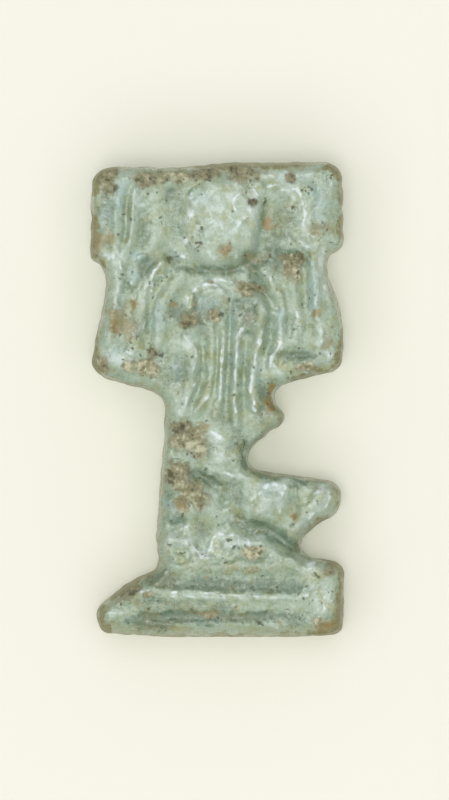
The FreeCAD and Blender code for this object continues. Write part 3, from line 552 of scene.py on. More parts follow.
BLUE_ZONES = {
    0.9: [(121, 197, 5, 20, 10)],
    0.8: [(138, 258, 8, 7)],
    0.7: [(319, 200, 8, 24), (313, 288, 7, 26), (158, 318, 7, 14), (133, 275, 5, 8)],
    0.6: [(233, 311, 5, 11), (281, 320, 6, 13), (236, 356, 5, 28), (113, 353, 12, 11), (176, 254, 8, 5, 40)],
    0.5: [(105, 216, 8, 12), (301, 178, 24, 7), (176, 368, 8, 10), (276, 492, 14, 8), (179, 462, 10, 5),
          (117, 298, 6, 12), (197, 200, 10, 14)],
    0.45: [(206, 302, 11, 8)],
    0.4: [(170, 510, 9, 12), (262, 380, 8, 10), (255, 238, 9, 12)],
    0.3: [(240, 545, 20, 9)],
}

# Colours as plain linear values
# White of the painted highlights
PAINTED_HIGHLIGHT_COLOUR = (0.70, 0.79, 0.775, 1)
GLAZE_PALE_AND_SHEEN = (0.50, 0.595, 0.52, 1)
GLAZE_MID = (0.325, 0.418, 0.308, 1)
# Green of pooled glaze, also painting shade in hollows and deep zones
GLAZE_POOL_AND_SHADE = (0.108, 0.174, 0.106, 1)
GLAZE_BLUE = (0.32, 0.455, 0.435, 1)
GLAZE_OLIVE = (0.29, 0.325, 0.15, 1)
OLIVE_POOL_AND_SHADE = (0.12, 0.132, 0.048, 1)
RIM_OLIVE = (0.225, 0.217, 0.08, 1)
RIM_PALE = (0.37, 0.37, 0.19, 1)
RIM_DARK = (0.09, 0.083, 0.034, 1)
TAN = (0.265, 0.24, 0.112, 1)
RUST = (0.235, 0.178, 0.052, 1)
STAIN_DARK = (0.12, 0.09, 0.03, 1)
# Dark crust, also the painted shade between its grains
CRUST_DARK_AND_SHADE = (0.085, 0.077, 0.035, 1)
CRUST_MID = (0.265, 0.252, 0.14, 1)
CRUST_LIGHT = (0.58, 0.56, 0.385, 1)
SPECK = (0.075, 0.07, 0.035, 1)
TABLE_COLOUR = (0.939, 0.921, 0.815, 1)
TABLE_ALBEDO = (0.905, 0.887, 0.785, 1)
WORLD_COLOUR = (1.0, 1.0, 1.0, 1)

# Noises: waves per millimetre, detail, roughness, offset in millimetres
NOISES = {
    "grit": (14.0, 2.0, 0.6, 61.0),
    "grains": (7.0, 4.0, 0.7, 47.0),
    "blotches": (2.4, 5.0, 0.7, 23.0),
    "crust lumps": (3.2, 4.0, 0.65, 3.0),
    "rim blotches": (4.0, 3.0, 0.55, 53.0),
    "mottle": (0.7, 4.0, 0.55, 7.0),
    "fleck": (5.0, 4.0, 0.7, 11.0),
    "olive patches": (1.4, 5.0, 0.65, 43.0),
    "blue patches": (1.8, 5.0, 0.7, 19.0),
    "dirt": (4.2, 5.0, 0.75, 31.0),
    "gloss patches": (1.6, 3.0, 0.55, 37.0),
    "skin": (3.2, 4.0, 0.6, 41.0),
    "loop mottle": (0.8, 4.0, 0.55, 3.0),
    "loop wear": (1.4, 4.0, 0.55, 13.0),
    "loop specks": (5.0, 1.0, 0.55, 17.0),
    "loop skin": (3.0, 4.0, 0.55, 0.0),
}

# How far noises swing a level
RAGGED = {"grains": 0.9, "grit": 0.9}
BLOTCHY = {"grains": 0.9, "grit": 0.9, "blotches": 1.0}
WALL_PASTE_AND_SHADE_SWINGS = {"blotches": 3.0, "grains": 1.2}
SHADE_SWINGS = {"grit": 1.6, "grains": 1.6}
CRUST_SWINGS = {"grit": 1.2, "crust lumps": 2.0}
RIM_SWINGS = {"grit": 2.4, "rim blotches": 2.0}
POOL_AND_SHADE_SWINGS = {"mottle": 0.6, "fleck": 0.9, "grit": 0.7}
BLUE_SWINGS = {"blue patches": 1.1}
BLUE_ZONE_SHARE = 0.7

# Ranges over which one colour turns into the next, with the least and greatest share where they are limited
CRUST_TO_MID = (-0.30, 0.40)
CRUST_TO_LIGHT = (0.40, 1.25)
RIM_TO_OLIVE = (-0.6, 0.1)
RIM_TO_PALE = (0.15, 0.8)
PALE_AND_SHEEN_TO_MID = (-0.05, 0.55)
MID_TO_POOL_AND_SHADE = (0.50, 1.15)
TO_OLIVE = (0.44, 0.70, 0.0, 0.85)
TO_BLUE = (-0.05, 0.95, 0.0, 0.85)
TO_STAIN_DARK = (-0.1, -0.6, 0.0, 0.6)
TO_DIRT = (0.64, 0.71, 0.0, 0.7)
DIRT_ON_RIM = 0.05

# Coats over the glaze, among them painted highlights and the side walls' paste with painted shade, the first
# lowest: how the edge swings, then where it starts, is full and how full
COATS = {
    "painted_highlight": (RAGGED, 0.15, 1.05, 0.0, 0.92),
    "rim": (BLOTCHY, 0.20, 0.80, 0.0, 0.95),
    "wall_paste_and_shade": (WALL_PASTE_AND_SHADE_SWINGS, 0.5, 1.5, 0.0, 0.8),
    "tan": (BLOTCHY, 0.05, 1.15, 0.0, 0.88),
    "rust": (BLOTCHY, 0.05, 1.0, 0.0, 0.95),
    "crust": (RAGGED, 0.05, 0.85, 0.0, 0.95),
    "pit": (RAGGED, 0.2, 1.0, 0.0, 0.75),
}

# Gloss and fine bumps
CRUST_WEAR = (0.1, 0.8)
RIM_WEAR = 0.5
GLAZE_ROUGHNESS = (0.0, 1.0, 0.17, 0.80)
GLOSS_PATCHES = (0.35, 0.65, 0.0, 0.14)
SKIN_BUMP_MM = 0.06
PORE_BUMP_MM = 0.02
GRIT_BUMP_MM = 0.05
LOOP_MOTTLE = (0.35, 0.65)
LOOP_WEAR = (0.5, 0.62)
LOOP_SPECKS = (0.70, 0.76)
LOOP_ROUGHNESS = (0.0, 1.0, 0.25, 0.55)
LOOP_BUMP_MM = 0.04

# Stage, camera and lamps
VIEW_CENTRE_COLUMN = 224.5
VIEW_CENTRE_ROW = 400.0
CAMERA_DISTANCE_MM = 300.0
TABLE_GAP_MM = 0.03
TABLE_SIZE_MM = 600.0
WORLD_LEVEL = 0.42

# Lamps: strength, width in degrees, direction towards the lamp, and whether it shows in matt and in gloss
LAMPS = {
    "front_lamp": (0.66, 12, (-0.03, -1.0, -0.06), True, False),
    "broad_lamp": (1.36, 62, (-0.05, -1.0, -0.12), True, True),
    "rear_lamp": (1.6, 60, (0.15, 1.0, 0.25), True, True),
    "glint_upper_left": (1.5, 15, (-0.50, -0.85, 0.50), False, True),
    "glint_left": (0.8, 12, (-0.75, -0.80, 0.05), False, True),
    "glint_right": (0.8, 12, (0.62, -0.80, 0.15), False, True),
    "glint_top": (1.0, 12, (0.10, -0.80, 0.66), False, True),
}

SEED = 5
SPLINE_STEPS = 6


# Fields on a grid of the photograph's pixels

columns = np.arange(FIELD_LEFT, FIELD_RIGHT, FIELD_STEP)
rows = np.arange(FIELD_TOP, FIELD_BOTTOM, FIELD_STEP)
column_grid, row_grid = np.meshgrid(columns, rows, indexing="ij")
FIELD_SHAPE = column_grid.shape
random_source = np.random.default_rng(SEED)


def spline(points, closed=False):
    """Smooth line through places, as many short runs."""
    places = np.array(points, float)
    if closed:
        places = np.vstack([places[-1:], places, places[:2]])
    else:
        places = np.vstack([2 * places[:1] - places[1:2], places, 2 * places[-1:] - places[-2:-1]])
    line = []
    for before, start, stop, after in zip(places, places[1:], places[2:], places[3:]):
        run = stop - before
        bend = 2 * before - 5 * start + 4 * stop - after
        twist = 3 * start - before - 3 * stop + after
        for share in np.arange(SPLINE_STEPS) / SPLINE_STEPS:
            line.append(start + (run * share + bend * share ** 2 + twist * share ** 3) / 2)
    if not closed:
        line.append(places[-2])
    return np.array(line)


def distance_to_line(across, down, line):
    """Distance from each place to a line of short runs, in pixels."""
    nearest = np.full(across.shape, np.inf)
    for start, stop in zip(line, line[1:]):
        run = stop - start
        share = ((across - start[0]) * run[0] + (down - start[1]) * run[1]) / max(run @ run, TINY)
        share = np.clip(share, 0, 1)
        gap = (across - start[0] - share * run[0]) ** 2 + (down - start[1] - share * run[1]) ** 2
        nearest = np.minimum(nearest, gap)
    return np.sqrt(nearest)


def window(places, reach):
    """Part of the grid that a form can touch."""
    corner = (FIELD_LEFT, FIELD_TOP)
    first = np.maximum(((np.min(places, axis=0) - reach - corner) / FIELD_STEP).astype(int), 0)
    last = np.maximum(((np.max(places, axis=0) + reach - corner) / FIELD_STEP).astype(int) + 1, 0)
    return slice(first[0], last[0]), slice(first[1], last[1])


def line_gap(places, reach):
    """Part of the grid near a smooth line, and the distance to the line in it."""
    part = window(places, reach)
    return part, distance_to_line(column_grid[part], row_grid[part], spline(places))


def bell(gap, reach):
    """One on a line, falling softly to nothing over the reach."""
    return np.exp(-(gap / reach) ** 2)


def blur(field, radius):
    """Field smoothed over a radius in pixels."""
    across = np.fft.fftfreq(field.shape[0], FIELD_STEP)[:, None]
    down = np.fft.rfftfreq(field.shape[1], FIELD_STEP)[None, :]
    damping = np.exp(-2 * (math.pi * radius) ** 2 * (across ** 2 + down ** 2))
    return np.fft.irfft2(np.fft.rfft2(field) * damping, s=field.shape)


def grain(radius):
    """Even random waviness of a given size, about one high."""
    waviness = blur(random_source.standard_normal(FIELD_SHAPE), radius)
    return waviness / waviness.std()


def waves(layers):
    """Sum of random wavinesses, each with its size and strength."""
    return sum(strength * grain(size) for size, strength in layers.items())


def smooth_step(low, high, values):
    """Soft rise from zero to one between two levels."""
    share = np.clip((values - low) / (high - low), 0, 1)
    return share * share * (3 - 2 * share)


def outline_distance():
    """Distance to the amulet's outline in pixels, negative inside."""
    line = spline(OUTLINE, closed=True)
    line = np.vstack([line, line[:1]])
    gap = distance_to_line(column_grid, row_grid, line)
    inside = np.zeros(FIELD_SHAPE, bool)
    for start, stop in zip(line, line[1:]):
        crosses = (start[1] > row_grid) != (stop[1] > row_grid)
        rise = stop[1] - start[1] if stop[1] != start[1] else TINY
        side = column_grid < start[0] + (row_grid - start[1]) * (stop[0] - start[0]) / rise
        inside ^= crosses & side
    return np.where(inside, -gap, gap)


def stroke_field(strokes):
    """Sum of soft strokes along smooth lines."""
    total = np.zeros(FIELD_SHAPE)
    for half_width, rise, places in strokes:
        reach = CREST_SPREAD * half_width
        part, gap = line_gap(places, WINDOW_REACH * reach)
        total[part] += rise * bell(gap + CREST_WANDER * wander[part], reach)
    return total


def joined_field(strokes):
    """Soft strokes whose overlaps merge instead of adding up."""
    total = np.zeros(FIELD_SHAPE)
    for half_width, rise, places in strokes:
        part, gap = line_gap(places, WINDOW_REACH * half_width)
        form = rise * bell(gap, half_width)
        total[part] = (total[part] ** JOIN_POWER + form ** JOIN_POWER) ** (1 / JOIN_POWER)
    return total


def spot(column, row, half_width, half_height, lean=0):
    """Part of the grid near an oval spot, and the distance from its middle, one at its border."""
    part = window([(column, row)], SPOT_REACH * max(half_width, half_height))
    across = column_grid[part] - column
    down = row_grid[part] - row
    turn = math.radians(lean)
    along = across * math.cos(turn) + down * math.sin(turn)
    beside = down * math.cos(turn) - across * math.sin(turn)
    return part, np.hypot(along / half_width, beside / half_height)


def spot_field(zones, roughness, softness):
    """Strongest of several ragged spots at each place."""
    total = np.zeros(FIELD_SHAPE)
    ragged = roughness * waves(SPOT_WAVES)
    for strength, places in zones.items():
        for place in places:
            part, reach = spot(*place)
            cover = strength * smooth_step(1 + softness, 1 - softness, reach + ragged[part])
            total[part] = np.maximum(total[part], cover)
    return total


def domes(places, shoulder, rise_mm):
    """Flat-topped domes over oval places, the highest where they overlap."""
    form = np.zeros(FIELD_SHAPE)
    for place in places:
        part, reach = spot(*place)
        form[part] = np.maximum(form[part], rise_mm * smooth_step(*shoulder, reach))
    return form


def plinth_form():
    """Front of the plinth, a little proud of the figure."""
    return PLINTH_RISE_MM * smooth_step(*PLINTH_SLOPE_ROWS, row_grid + PLINTH_WANDER * wander)


def crust_fields(ragged):
    """Cover, colour share and thickness of the burial crust."""
    cover = np.zeros(FIELD_SHAPE)
    tone = np.full(FIELD_SHAPE, CRUST_TONE)
    rise = np.zeros(FIELD_SHAPE)
    for *place, thickness, shade in CRUSTS:
        part, reach = spot(*place)
        lump = smooth_step(*CRUST_EDGE, reach + ragged[part])
        tone[part] += (shade - tone[part]) * lump
        rise[part] = np.maximum(rise[part], thickness * lump)
        cover[part] = np.maximum(cover[part], lump)
    return cover, tone, rise


def pit_fields(ragged):
    """Depth and dark mark of the small pits."""
    depths = np.zeros(FIELD_SHAPE)
    marks = np.zeros(FIELD_SHAPE)
    for column, row, radius, depth in PITS:
        part, reach = spot(column, row, radius, radius)
        depths[part] = np.maximum(depths[part], depth * bell(reach, PIT_WIDTH))
        marks[part] = np.maximum(marks[part], smooth_step(*PIT_EDGE, reach + ragged[part]))
    return depths, marks


def crack_field():
    """One along the crack by the belly."""
    field = np.zeros(FIELD_SHAPE)
    part, gap = line_gap(CRACK, CRACK_REACH)
    field[part] = bell(gap, CRACK_WIDTH)
    return field


def crumb_field():
    """Dark crumbs, close together inside the crumbly places and rare elsewhere."""
    crumbly = CRUMB_SHARE * spot_field(CRUMBS, *CRUMB_EDGE)
    return smooth_step(CRUMB_START - crumbly, CRUMB_FULL - crumbly, waves(CRUMB_WAVES))


def patchy(pattern, low, high, base, more):
    """Factor that changes from place to place with a pattern."""
    return base + more * smooth_step(low, high, pattern)


def painted_highlight_field():
    """Painted highlights: a milky sheen over the pale places, with thin white lines along the crests and
    curls between.
    """
    along = np.zeros(FIELD_SHAPE)
    for half_width, rise, places in CRESTS:
        part, gap = line_gap(places, WINDOW_REACH * half_width)
        for strength, width, wandering in (PAINTED_HIGHLIGHT_LINE, PAINTED_HIGHLIGHT_HALO):
            line = bell(gap + wandering * wander[part], width * half_width)
            line = strength * min(rise / PAINTED_HIGHLIGHT_FULL_MM, PAINTED_HIGHLIGHT_MOST) * line
            along[part] = np.maximum(along[part], line)
    along = along * patchy(grain(PAINTED_HIGHLIGHT_WAVE), *PAINTED_HIGHLIGHT_BREAKS) * patchy(crust_ragged, *PAINTED_HIGHLIGHT_PATCHES)
    curls = np.zeros(FIELD_SHAPE)
    for strength, size, patch_size, patch_range in PAINTED_HIGHLIGHT_CURLS:
        curl = strength * bell(grain(size), CURL_WIDTH)
        curls = np.maximum(curls, curl * smooth_step(*patch_range, grain(patch_size)))
    curls = curls * (CURL_BASE + CURL_PALE_AND_HIGHLIGHT * pale_and_highlight_zones) * smooth_step(*CURL_EDGE, edge_gap)
    milk_and_sheen = MILK_AND_SHEEN_SHARE * pale_and_highlight_zones + MILK_AND_SHEEN_EXTRA * np.maximum(pale_and_highlight_zones - 1, 0)
    milk_and_sheen = milk_and_sheen * smooth_step(*MILK_AND_SHEEN_PATCHES, grain(MILK_AND_SHEEN_WAVE))
    return np.clip(np.maximum(np.maximum(along, curls), milk_and_sheen), 0, 1)


def front_shares():
    """Shares of the surface's looks over the front, for the material."""
    # Darker in hollows and deep zones from pooled glaze and painted shade, lighter in the pale and highlight
    # zones
    cavity = blur(height, CAVITY_SIZES[0]) - blur(height, CAVITY_SIZES[1])
    pool_and_shade = POOL_AND_SHADE_BASE + POOL_AND_SHADE_CAVITY * cavity + POOL_AND_SHADE_DEEP * deep_and_shaded_zones - POOL_AND_SHADE_PALE * pale_and_highlight_zones
    rim_zones = spot_field(RIM_ZONES, *RIM_EDGE)
    rim_reach = RIM_REACH + RIM_REACH_WORN * rim_zones
    rim = smooth_step(*RIM_FALL, (edge_gap + waves(RIM_WAVES)) / rim_reach)
    return {
        "painted_highlight": painted_highlight,
        "pool_and_shade": np.clip(pool_and_shade, 0, POOL_AND_SHADE_MOST),
        "blue": spot_field(BLUE_ZONES, *BLUE_EDGE),
        "rim": rim * (RIM_BASE + RIM_WORN * rim_zones),
        "crust": crust,
        # Crust tone darkened between the grains as painted shade
        "crust_tone_and_shade": crust_tone_and_shade + GRANULE_SHADE_IN_TONE * granules,
        "rust": spot_field(RUST_STAINS, *STAIN_EDGE),
        "tan": spot_field(TAN_STAINS, *STAIN_EDGE),
        "pit": np.maximum(np.maximum(pit_marks, CRACK_MARK * crack), crumb_field()),
    }


def pixel_place(across, up):
    """Column and row of a place on the front in millimetres."""
    return across / MM_PER_PIXEL + CENTRE_COLUMN, FOOT_ROW - up / MM_PER_PIXEL


def sampled(field, column, row):
    """Values of a field at places in pixels, blended between grid points."""
    along = np.clip((column - FIELD_LEFT) / FIELD_STEP, 0, FIELD_SHAPE[0] - GRID_END)
    beside = np.clip((row - FIELD_TOP) / FIELD_STEP, 0, FIELD_SHAPE[1] - GRID_END)
    first = along.astype(int)
    second = beside.astype(int)
    share = along - first
    other = beside - second
    low = field[first, second] * (1 - share) + field[first + 1, second] * share
    high = field[first, second + 1] * (1 - share) + field[first + 1, second + 1] * share
    return low * (1 - other) + high * other


# The moulding's fields, in an order that keeps the random patterns

edge_gap = outline_distance() + EDGE_WOBBLE_MM / MM_PER_PIXEL * grain(EDGE_WAVE)
wander = grain(WANDER_WAVE)
# Pale zones: paler glaze together with painted highlights and sheen
pale_and_highlight_zones = spot_field(PALE_AND_HIGHLIGHT_ZONES, *PALE_AND_HIGHLIGHT_EDGE)
# Deep zones: pooled glaze and painted shade in grooves, notches and folds
deep_and_shaded_zones = spot_field(DEEP_AND_SHADED_ZONES, *DEEP_AND_SHADED_EDGE)
crust_ragged = waves(CRUST_WAVES)
crust, crust_tone_and_shade, crust_rise = crust_fields(crust_ragged)
pits, pit_marks = pit_fields(waves(PIT_WAVES))
crack = crack_field()
# Painted highlights: white lines on the crests, curls between and a milky sheen
painted_highlight = painted_highlight_field()
crests = stroke_field(CRESTS) * smooth_step(*CREST_BREAKS, grain(CREST_WAVE))
broad = joined_field(BROAD_RIDGES)
broad = broad + domes([DISC], DISC_SHOULDER, DISC_RISE_MM) + domes(HEAD_ARCHES, HEAD_SHOULDER, HEAD_RISE_MM)
relief = RIDGE_SHARE * broad - HOLLOW_SHARE * joined_field(BROAD_HOLLOWS) + CREST_SHARE * crests
relief = relief + plinth_form() + waves(SWELL_WAVES_MM)
relief = relief + PAINTED_HIGHLIGHT_RISE_MM * painted_highlight - pits - CRACK_DEPTH_MM * crack
granules = waves(GRANULE_WAVES)
relief = relief + crust_rise * (CRUST_BASE + CRUST_LUMPS * granules)
height = GROUND_MM + GROUND_LIFT_MM + relief * (1 - EDGE_FALL_SHARE * smooth_step(*EDGE_FALL, edge_gap))
over_limit = (HEIGHT_LIMIT_MM - height) * LIMIT_SHARPNESS
height = HEIGHT_LIMIT_MM - np.logaddexp(0, over_limit) / LIMIT_SHARPNESS
back_wave = BACK_WOBBLE_MM * np.clip(waves(BACK_WAVES), -1, 1)
wall_wave = WALL_WOBBLE_MM * grain(WALL_WAVE)
rim_round = RIM_ROUND_MM * np.clip(1 + RIM_ROUND_SWING * grain(RIM_ROUND_WAVE), *RIM_ROUND_LIMITS)


# Solid form from the fields

def round_larger(first, second, radius):
    """Larger of two distances with a round fillet where they meet."""
    corner = np.hypot(np.maximum(first + radius, 0), np.maximum(second + radius, 0))
    return corner + np.minimum(np.maximum(first, second), -radius)


def skin_distance(gap, front, behind, radius, depth):
    """Rough distance to the moulding's drafted, rounded skin in millimetres, negative inside."""
    side = (gap + math.tan(DRAFT) * (BACK_MM - depth)) * math.cos(DRAFT)
    shell = round_larger(side, -depth - front, radius)
    return round_larger(shell, depth - BACK_MM + BACK_WOBBLE_MM + behind, BACK_ROUND_MM)


def body_distance(across, depth, up):
    """Distance to the moulding's surface at single places."""
    column, row = pixel_place(across, up)
    wave = sampled(wall_wave, column + depth * WALL_COLUMNS_PER_MM, row + depth * WALL_ROWS_PER_MM)
    gap = sampled(edge_gap, column, row) * MM_PER_PIXEL + wave
    front, behind, radius = [sampled(field, column, row) for field in (height, back_wave, rim_round)]
    return skin_distance(gap, front, behind, radius, depth)


def grid_distance(xs, ys, zs):
    """The same distance on a grid of places, without the walls' waves."""
    column, row = pixel_place(*np.meshgrid(xs, zs, indexing="ij"))
    fields = (edge_gap * MM_PER_PIXEL, height, back_wave, rim_round)
    flats = [sampled(field, column, row)[:, None, :] for field in fields]
    return skin_distance(*flats, ys[None, :, None])


def surface_net(values, xs, ys, zs):
    """Closed mesh of quads where the values change sign."""
    inside = values < 0
    near = inside[:-1, :-1, :-1].astype(np.int8)
    for corner in range(1, 8):
        i, j, k = corner & 1, corner >> 1 & 1, corner >> 2 & 1
        near = near + inside[i:near.shape[0] + i, j:near.shape[1] + j, k:near.shape[2] + k]
    cells = np.argwhere((near > 0) & (near < 8))
    number = np.full(near.shape, -1)
    number[tuple(cells.T)] = np.arange(len(cells))
    total = np.zeros((len(cells), 3))
    count = np.zeros(len(cells))
    for axis in range(3):
        others = [other for other in range(3) if other != axis]
        for shift in range(4):
            start = cells.copy()
            start[:, others[0]] += shift & 1
            start[:, others[1]] += shift >> 1
            stop = start.copy()
            stop[:, axis] += 1
            low = values[tuple(start.T)]
            high = values[tuple(stop.T)]
            cut = (low < 0) != (high < 0)
            place = start[cut].astype(float)
            place[:, axis] += low[cut] / (low[cut] - high[cut])
            total[cut] += place
            count[cut] += 1
    places = total / count[:, None] * (xs[1] - xs[0], ys[1] - ys[0], zs[1] - zs[0]) + (xs[0], ys[0], zs[0])
    quads = []
    for axis in range(3):
        first, second = (axis + 1) % 3, (axis + 2) % 3
        low = inside.take(range(inside.shape[axis] - 1), axis=axis)
        high = inside.take(range(1, inside.shape[axis]), axis=axis)
        for flip, crossing in ((False, low & ~high), (True, ~low & high)):
            edge = np.argwhere(crossing)
            corners = []
            for across, beside in ((-1, -1), (0, -1), (0, 0), (-1, 0)):
                cell = edge.copy()
                cell[:, first] += across
                cell[:, second] += beside
                corners.append(number[tuple(cell.T)])
            quads.append(np.stack(corners[::-1] if flip else corners, axis=1))
    return places, np.vstack(quads)


def settle(places):
    """Points moved onto the exact surface, and the surface's direction there."""
    for _ in range(SETTLE_STEPS):
        slope = []
        for step in np.eye(3) * SETTLE_NUDGE_MM:
            slope.append(body_distance(*(places + step).T) - body_distance(*(places - step).T))
        slope = np.stack(slope, axis=1) / (2 * SETTLE_NUDGE_MM)
        steep = np.maximum((slope ** 2).sum(axis=1), LEAST_STEEPNESS)
        move = np.clip(body_distance(*places.T) / steep, -SETTLE_MOVE_MM, SETTLE_MOVE_MM)
        places = places - move[:, None] * slope
    return places, slope / np.sqrt(steep)[:, None]


def mesh_object(name, places_mm, faces):
    """Smooth-shaded object from places in millimetres."""
    mesh = bpy.data.meshes.new(name)
    mesh.from_pydata((np.asarray(places_mm) * MM).tolist(), [], np.asarray(faces).tolist())
    mesh.validate()
    mesh.polygons.foreach_set("use_smooth", [True] * len(mesh.polygons))
    piece = bpy.data.objects.new(name, mesh)
    bpy.context.scene.collection.objects.link(piece)
    return piece


def point_share(piece, name, values):
    """Share from zero to one stored on each point of a mesh for its material."""
    attribute = piece.data.attributes.new(name, "FLOAT", "POINT")
    attribute.data.foreach_set("value", np.asarray(values, np.float32))


def amulet_body():
    """The moulded body: drafted walls, worn rims, relief, pits and crust in one closed skin."""
    low = np.array(cad_low) / MM
    high = np.array(cad_high) / MM
    xs = np.arange(low[0] - MARGIN_MM, high[0] + MARGIN_MM, VOXEL_MM)
    ys = np.arange(-FRONT_MM - MARGIN_MM, BACK_MM + MARGIN_MM, VOXEL_MM)
    zs = np.arange(low[2] - MARGIN_MM, high[2] + MARGIN_MM, VOXEL_MM)
    places, quads = surface_net(grid_distance(xs, ys, zs), xs, ys, zs)
    places, facing = settle(places)
    places = np.clip(places, low, high)
    piece = mesh_object("amulet_body", places, quads)
    column, row = pixel_place(places[:, 0], places[:, 2])
    forward = smooth_step(*FORWARD, -facing[:, 1])
    backward = smooth_step(*BACKWARD, facing[:, 1])
    for name, field in front_shares().items():
        values = sampled(field, column, row)
        if name in FRONT_ONLY:
            values = values * forward
        if name == "pool_and_shade":
            values = values * forward + POOL_AND_SHADE_ON_SIDES * (1 - forward)
        if name == "rim":
            values = np.maximum(values, RIM_ON_SIDES * (1 - forward)) * (1 - RIM_BACK_LOSS * backward)
        point_share(piece, name, values)
    # Side walls take the paste colour, darkened partly as painted shade
    point_share(piece, "wall_paste_and_shade", smooth_step(*WALL_PASTE_AND_SHADE, -facing[:, 1]) * (1 - WALL_PASTE_AND_SHADE_BACK_LOSS * backward))
    return piece


def suspension_loop():
    """Rolled tube of paste, pressed on to the flat back, with a bead round its foot."""
    half_length = (LOOP_HIGH[0] - LOOP_LOW[0]) / 2
    radius = (LOOP_HIGH[2] - LOOP_LOW[2]) / 2
    axis_depth = LOOP_HIGH[1] - radius
    axis_up = (LOOP_HIGH[2] + LOOP_LOW[2]) / 2
    reach = LOOP_BEAD_MM + MARGIN_MM
    xs = np.arange(-half_length - reach, half_length + reach, VOXEL_MM)
    ys = np.arange(BACK_MM - LOOP_SEAT_MM - MARGIN_MM, LOOP_HIGH[1] + MARGIN_MM, VOXEL_MM)
    zs = np.arange(LOOP_LOW[2] - reach, LOOP_HIGH[2] + reach, VOXEL_MM)
    x, y, z = np.meshgrid(xs, ys, zs, indexing="ij")
    bead = LOOP_BEAD_MM * np.exp(-np.maximum(y - BACK_MM, 0) / LOOP_BEAD_REACH_MM)
    ends = np.abs(x) - half_length + LOOP_SHRINK_MM - bead
    around = np.hypot(y - axis_depth, z - axis_up)
    stem = np.maximum(np.abs(z - axis_up) - radius + LOOP_SHRINK_MM - bead, y - axis_depth)
    section = np.minimum(around - radius + LOOP_SHRINK_MM, stem)
    for wave, (along_x, along_y, along_z) in LOOP_WAVES:
        section = section + wave * np.sin(along_x * x + along_y * y + along_z * z)
    solid = round_larger(section, ends, LOOP_END_ROUND_MM)
    solid = np.maximum(solid, BACK_MM - LOOP_SEAT_MM - y)
    solid = round_larger(solid, LOOP_BORE_MM - around, LOOP_MOUTH_ROUND_MM)
    places, quads = surface_net(solid, xs, ys, zs)
    places[:, 1] = np.minimum(places[:, 1], LOOP_HIGH[1])
    return mesh_object("suspension_loop_skin", places, quads)


# Materials

class Nodes:
    """Short way to add shader nodes to a material."""

    def __init__(self, name):
        """New material with its shader, and places counted along the object."""
        self.material = bpy.data.materials.new(name)
        self.material.use_nodes = True
        self.tree = self.material.node_tree
        self.shader = self.tree.nodes["Principled BSDF"]
        self.place = self.add("ShaderNodeTexCoord").outputs["Object"]
        self.noises = {}

    def add(self, kind, **settings):
        """New node of a kind with its settings."""
        node = self.tree.nodes.new(kind)
        for setting, setting_value in settings.items():
            setattr(node, setting, setting_value)
        return node

    def feed(self, socket, source):
        """Plain value or another node's output given to a socket."""
        if isinstance(source, (tuple, int, float)):
            socket.default_value = source
        else:
            self.tree.links.new(source, socket)

    def share(self, name):
        """Share stored on the mesh's points."""
        return self.add("ShaderNodeAttribute", attribute_name=name).outputs["Fac"]

    def noise(self, name):
        """One of the listed noises, made once for each material."""
        if name not in self.noises:
            per_mm, detail, roughness, offset = NOISES[name]
            shift = self.add("ShaderNodeVectorMath", operation="ADD")
            self.feed(shift.inputs[0], self.place)
            self.feed(shift.inputs[1], (offset * MM,) * 3)
            node = self.add("ShaderNodeTexNoise")
            self.feed(node.inputs["Vector"], shift.outputs[0])
            self.feed(node.inputs["Scale"], per_mm / MM)
            self.feed(node.inputs["Detail"], detail)
            self.feed(node.inputs["Roughness"], roughness)
            self.noises[name] = node.outputs["Fac"]
        return self.noises[name]

    def ramp(self, source, low, high, start=0.0, stop=1.0):
        """Source stretched from one range to another and held inside it."""
        node = self.add("ShaderNodeMapRange", clamp=True, interpolation_type="SMOOTHSTEP")
        self.feed(node.inputs["Value"], source)
        for socket, level in zip(("From Min", "From Max", "To Min", "To Max"), (low, high, start, stop)):
            self.feed(node.inputs[socket], level)
        return node.outputs["Result"]

    def sum(self, operation, first, second):
        """Two values added, multiplied or compared."""
        node = self.add("ShaderNodeMath", operation=operation)
        self.feed(node.inputs[0], first)
        self.feed(node.inputs[1], second)
        return node.outputs["Value"]

    def level(self, start, swings):
        """Value made uneven by noises that swing about zero."""
        for name, strength in swings.items():
            swing = self.sum("MULTIPLY", self.sum("SUBTRACT", self.noise(name), 0.5), strength)
            start = self.sum("ADD", start, swing)
        return start

    def mix(self, share, first, second):
        """Blend of two colours."""
        node = self.add("ShaderNodeMix", data_type="RGBA")
        for socket, source in zip(("Factor", "A", "B"), (share, first, second)):
            self.feed(node.inputs[socket], source)
        return node.outputs["Result"]

    def bump(self, source, depth_mm, previous=None):
        """Surface direction with the source's bumps on it."""
        node = self.add("ShaderNodeBump")
        self.feed(node.inputs["Height"], source)
        self.feed(node.inputs["Strength"], 1.0)
        self.feed(node.inputs["Distance"], depth_mm * MM)
        if previous is not None:
            self.feed(node.inputs["Normal"], previous)
        return node.outputs["Normal"]

    def finished(self, colour, roughness, normal):
        """The material with its colour, roughness and bumps."""
        for socket, source in (("Base Color", colour), ("Roughness", roughness), ("Normal", normal)):
            self.feed(self.shader.inputs[socket], source)
        return self.material


def crust_colour(nodes):
    """Granular burial crust, from dark brown through tan to pale grit, with painted light and shade on its
    grains.
    """
    level = nodes.level(nodes.share("crust_tone_and_shade"), CRUST_SWINGS)
    darker = nodes.mix(nodes.ramp(level, *CRUST_TO_MID), CRUST_DARK_AND_SHADE, CRUST_MID)
    return nodes.mix(nodes.ramp(level, *CRUST_TO_LIGHT), darker, CRUST_LIGHT)


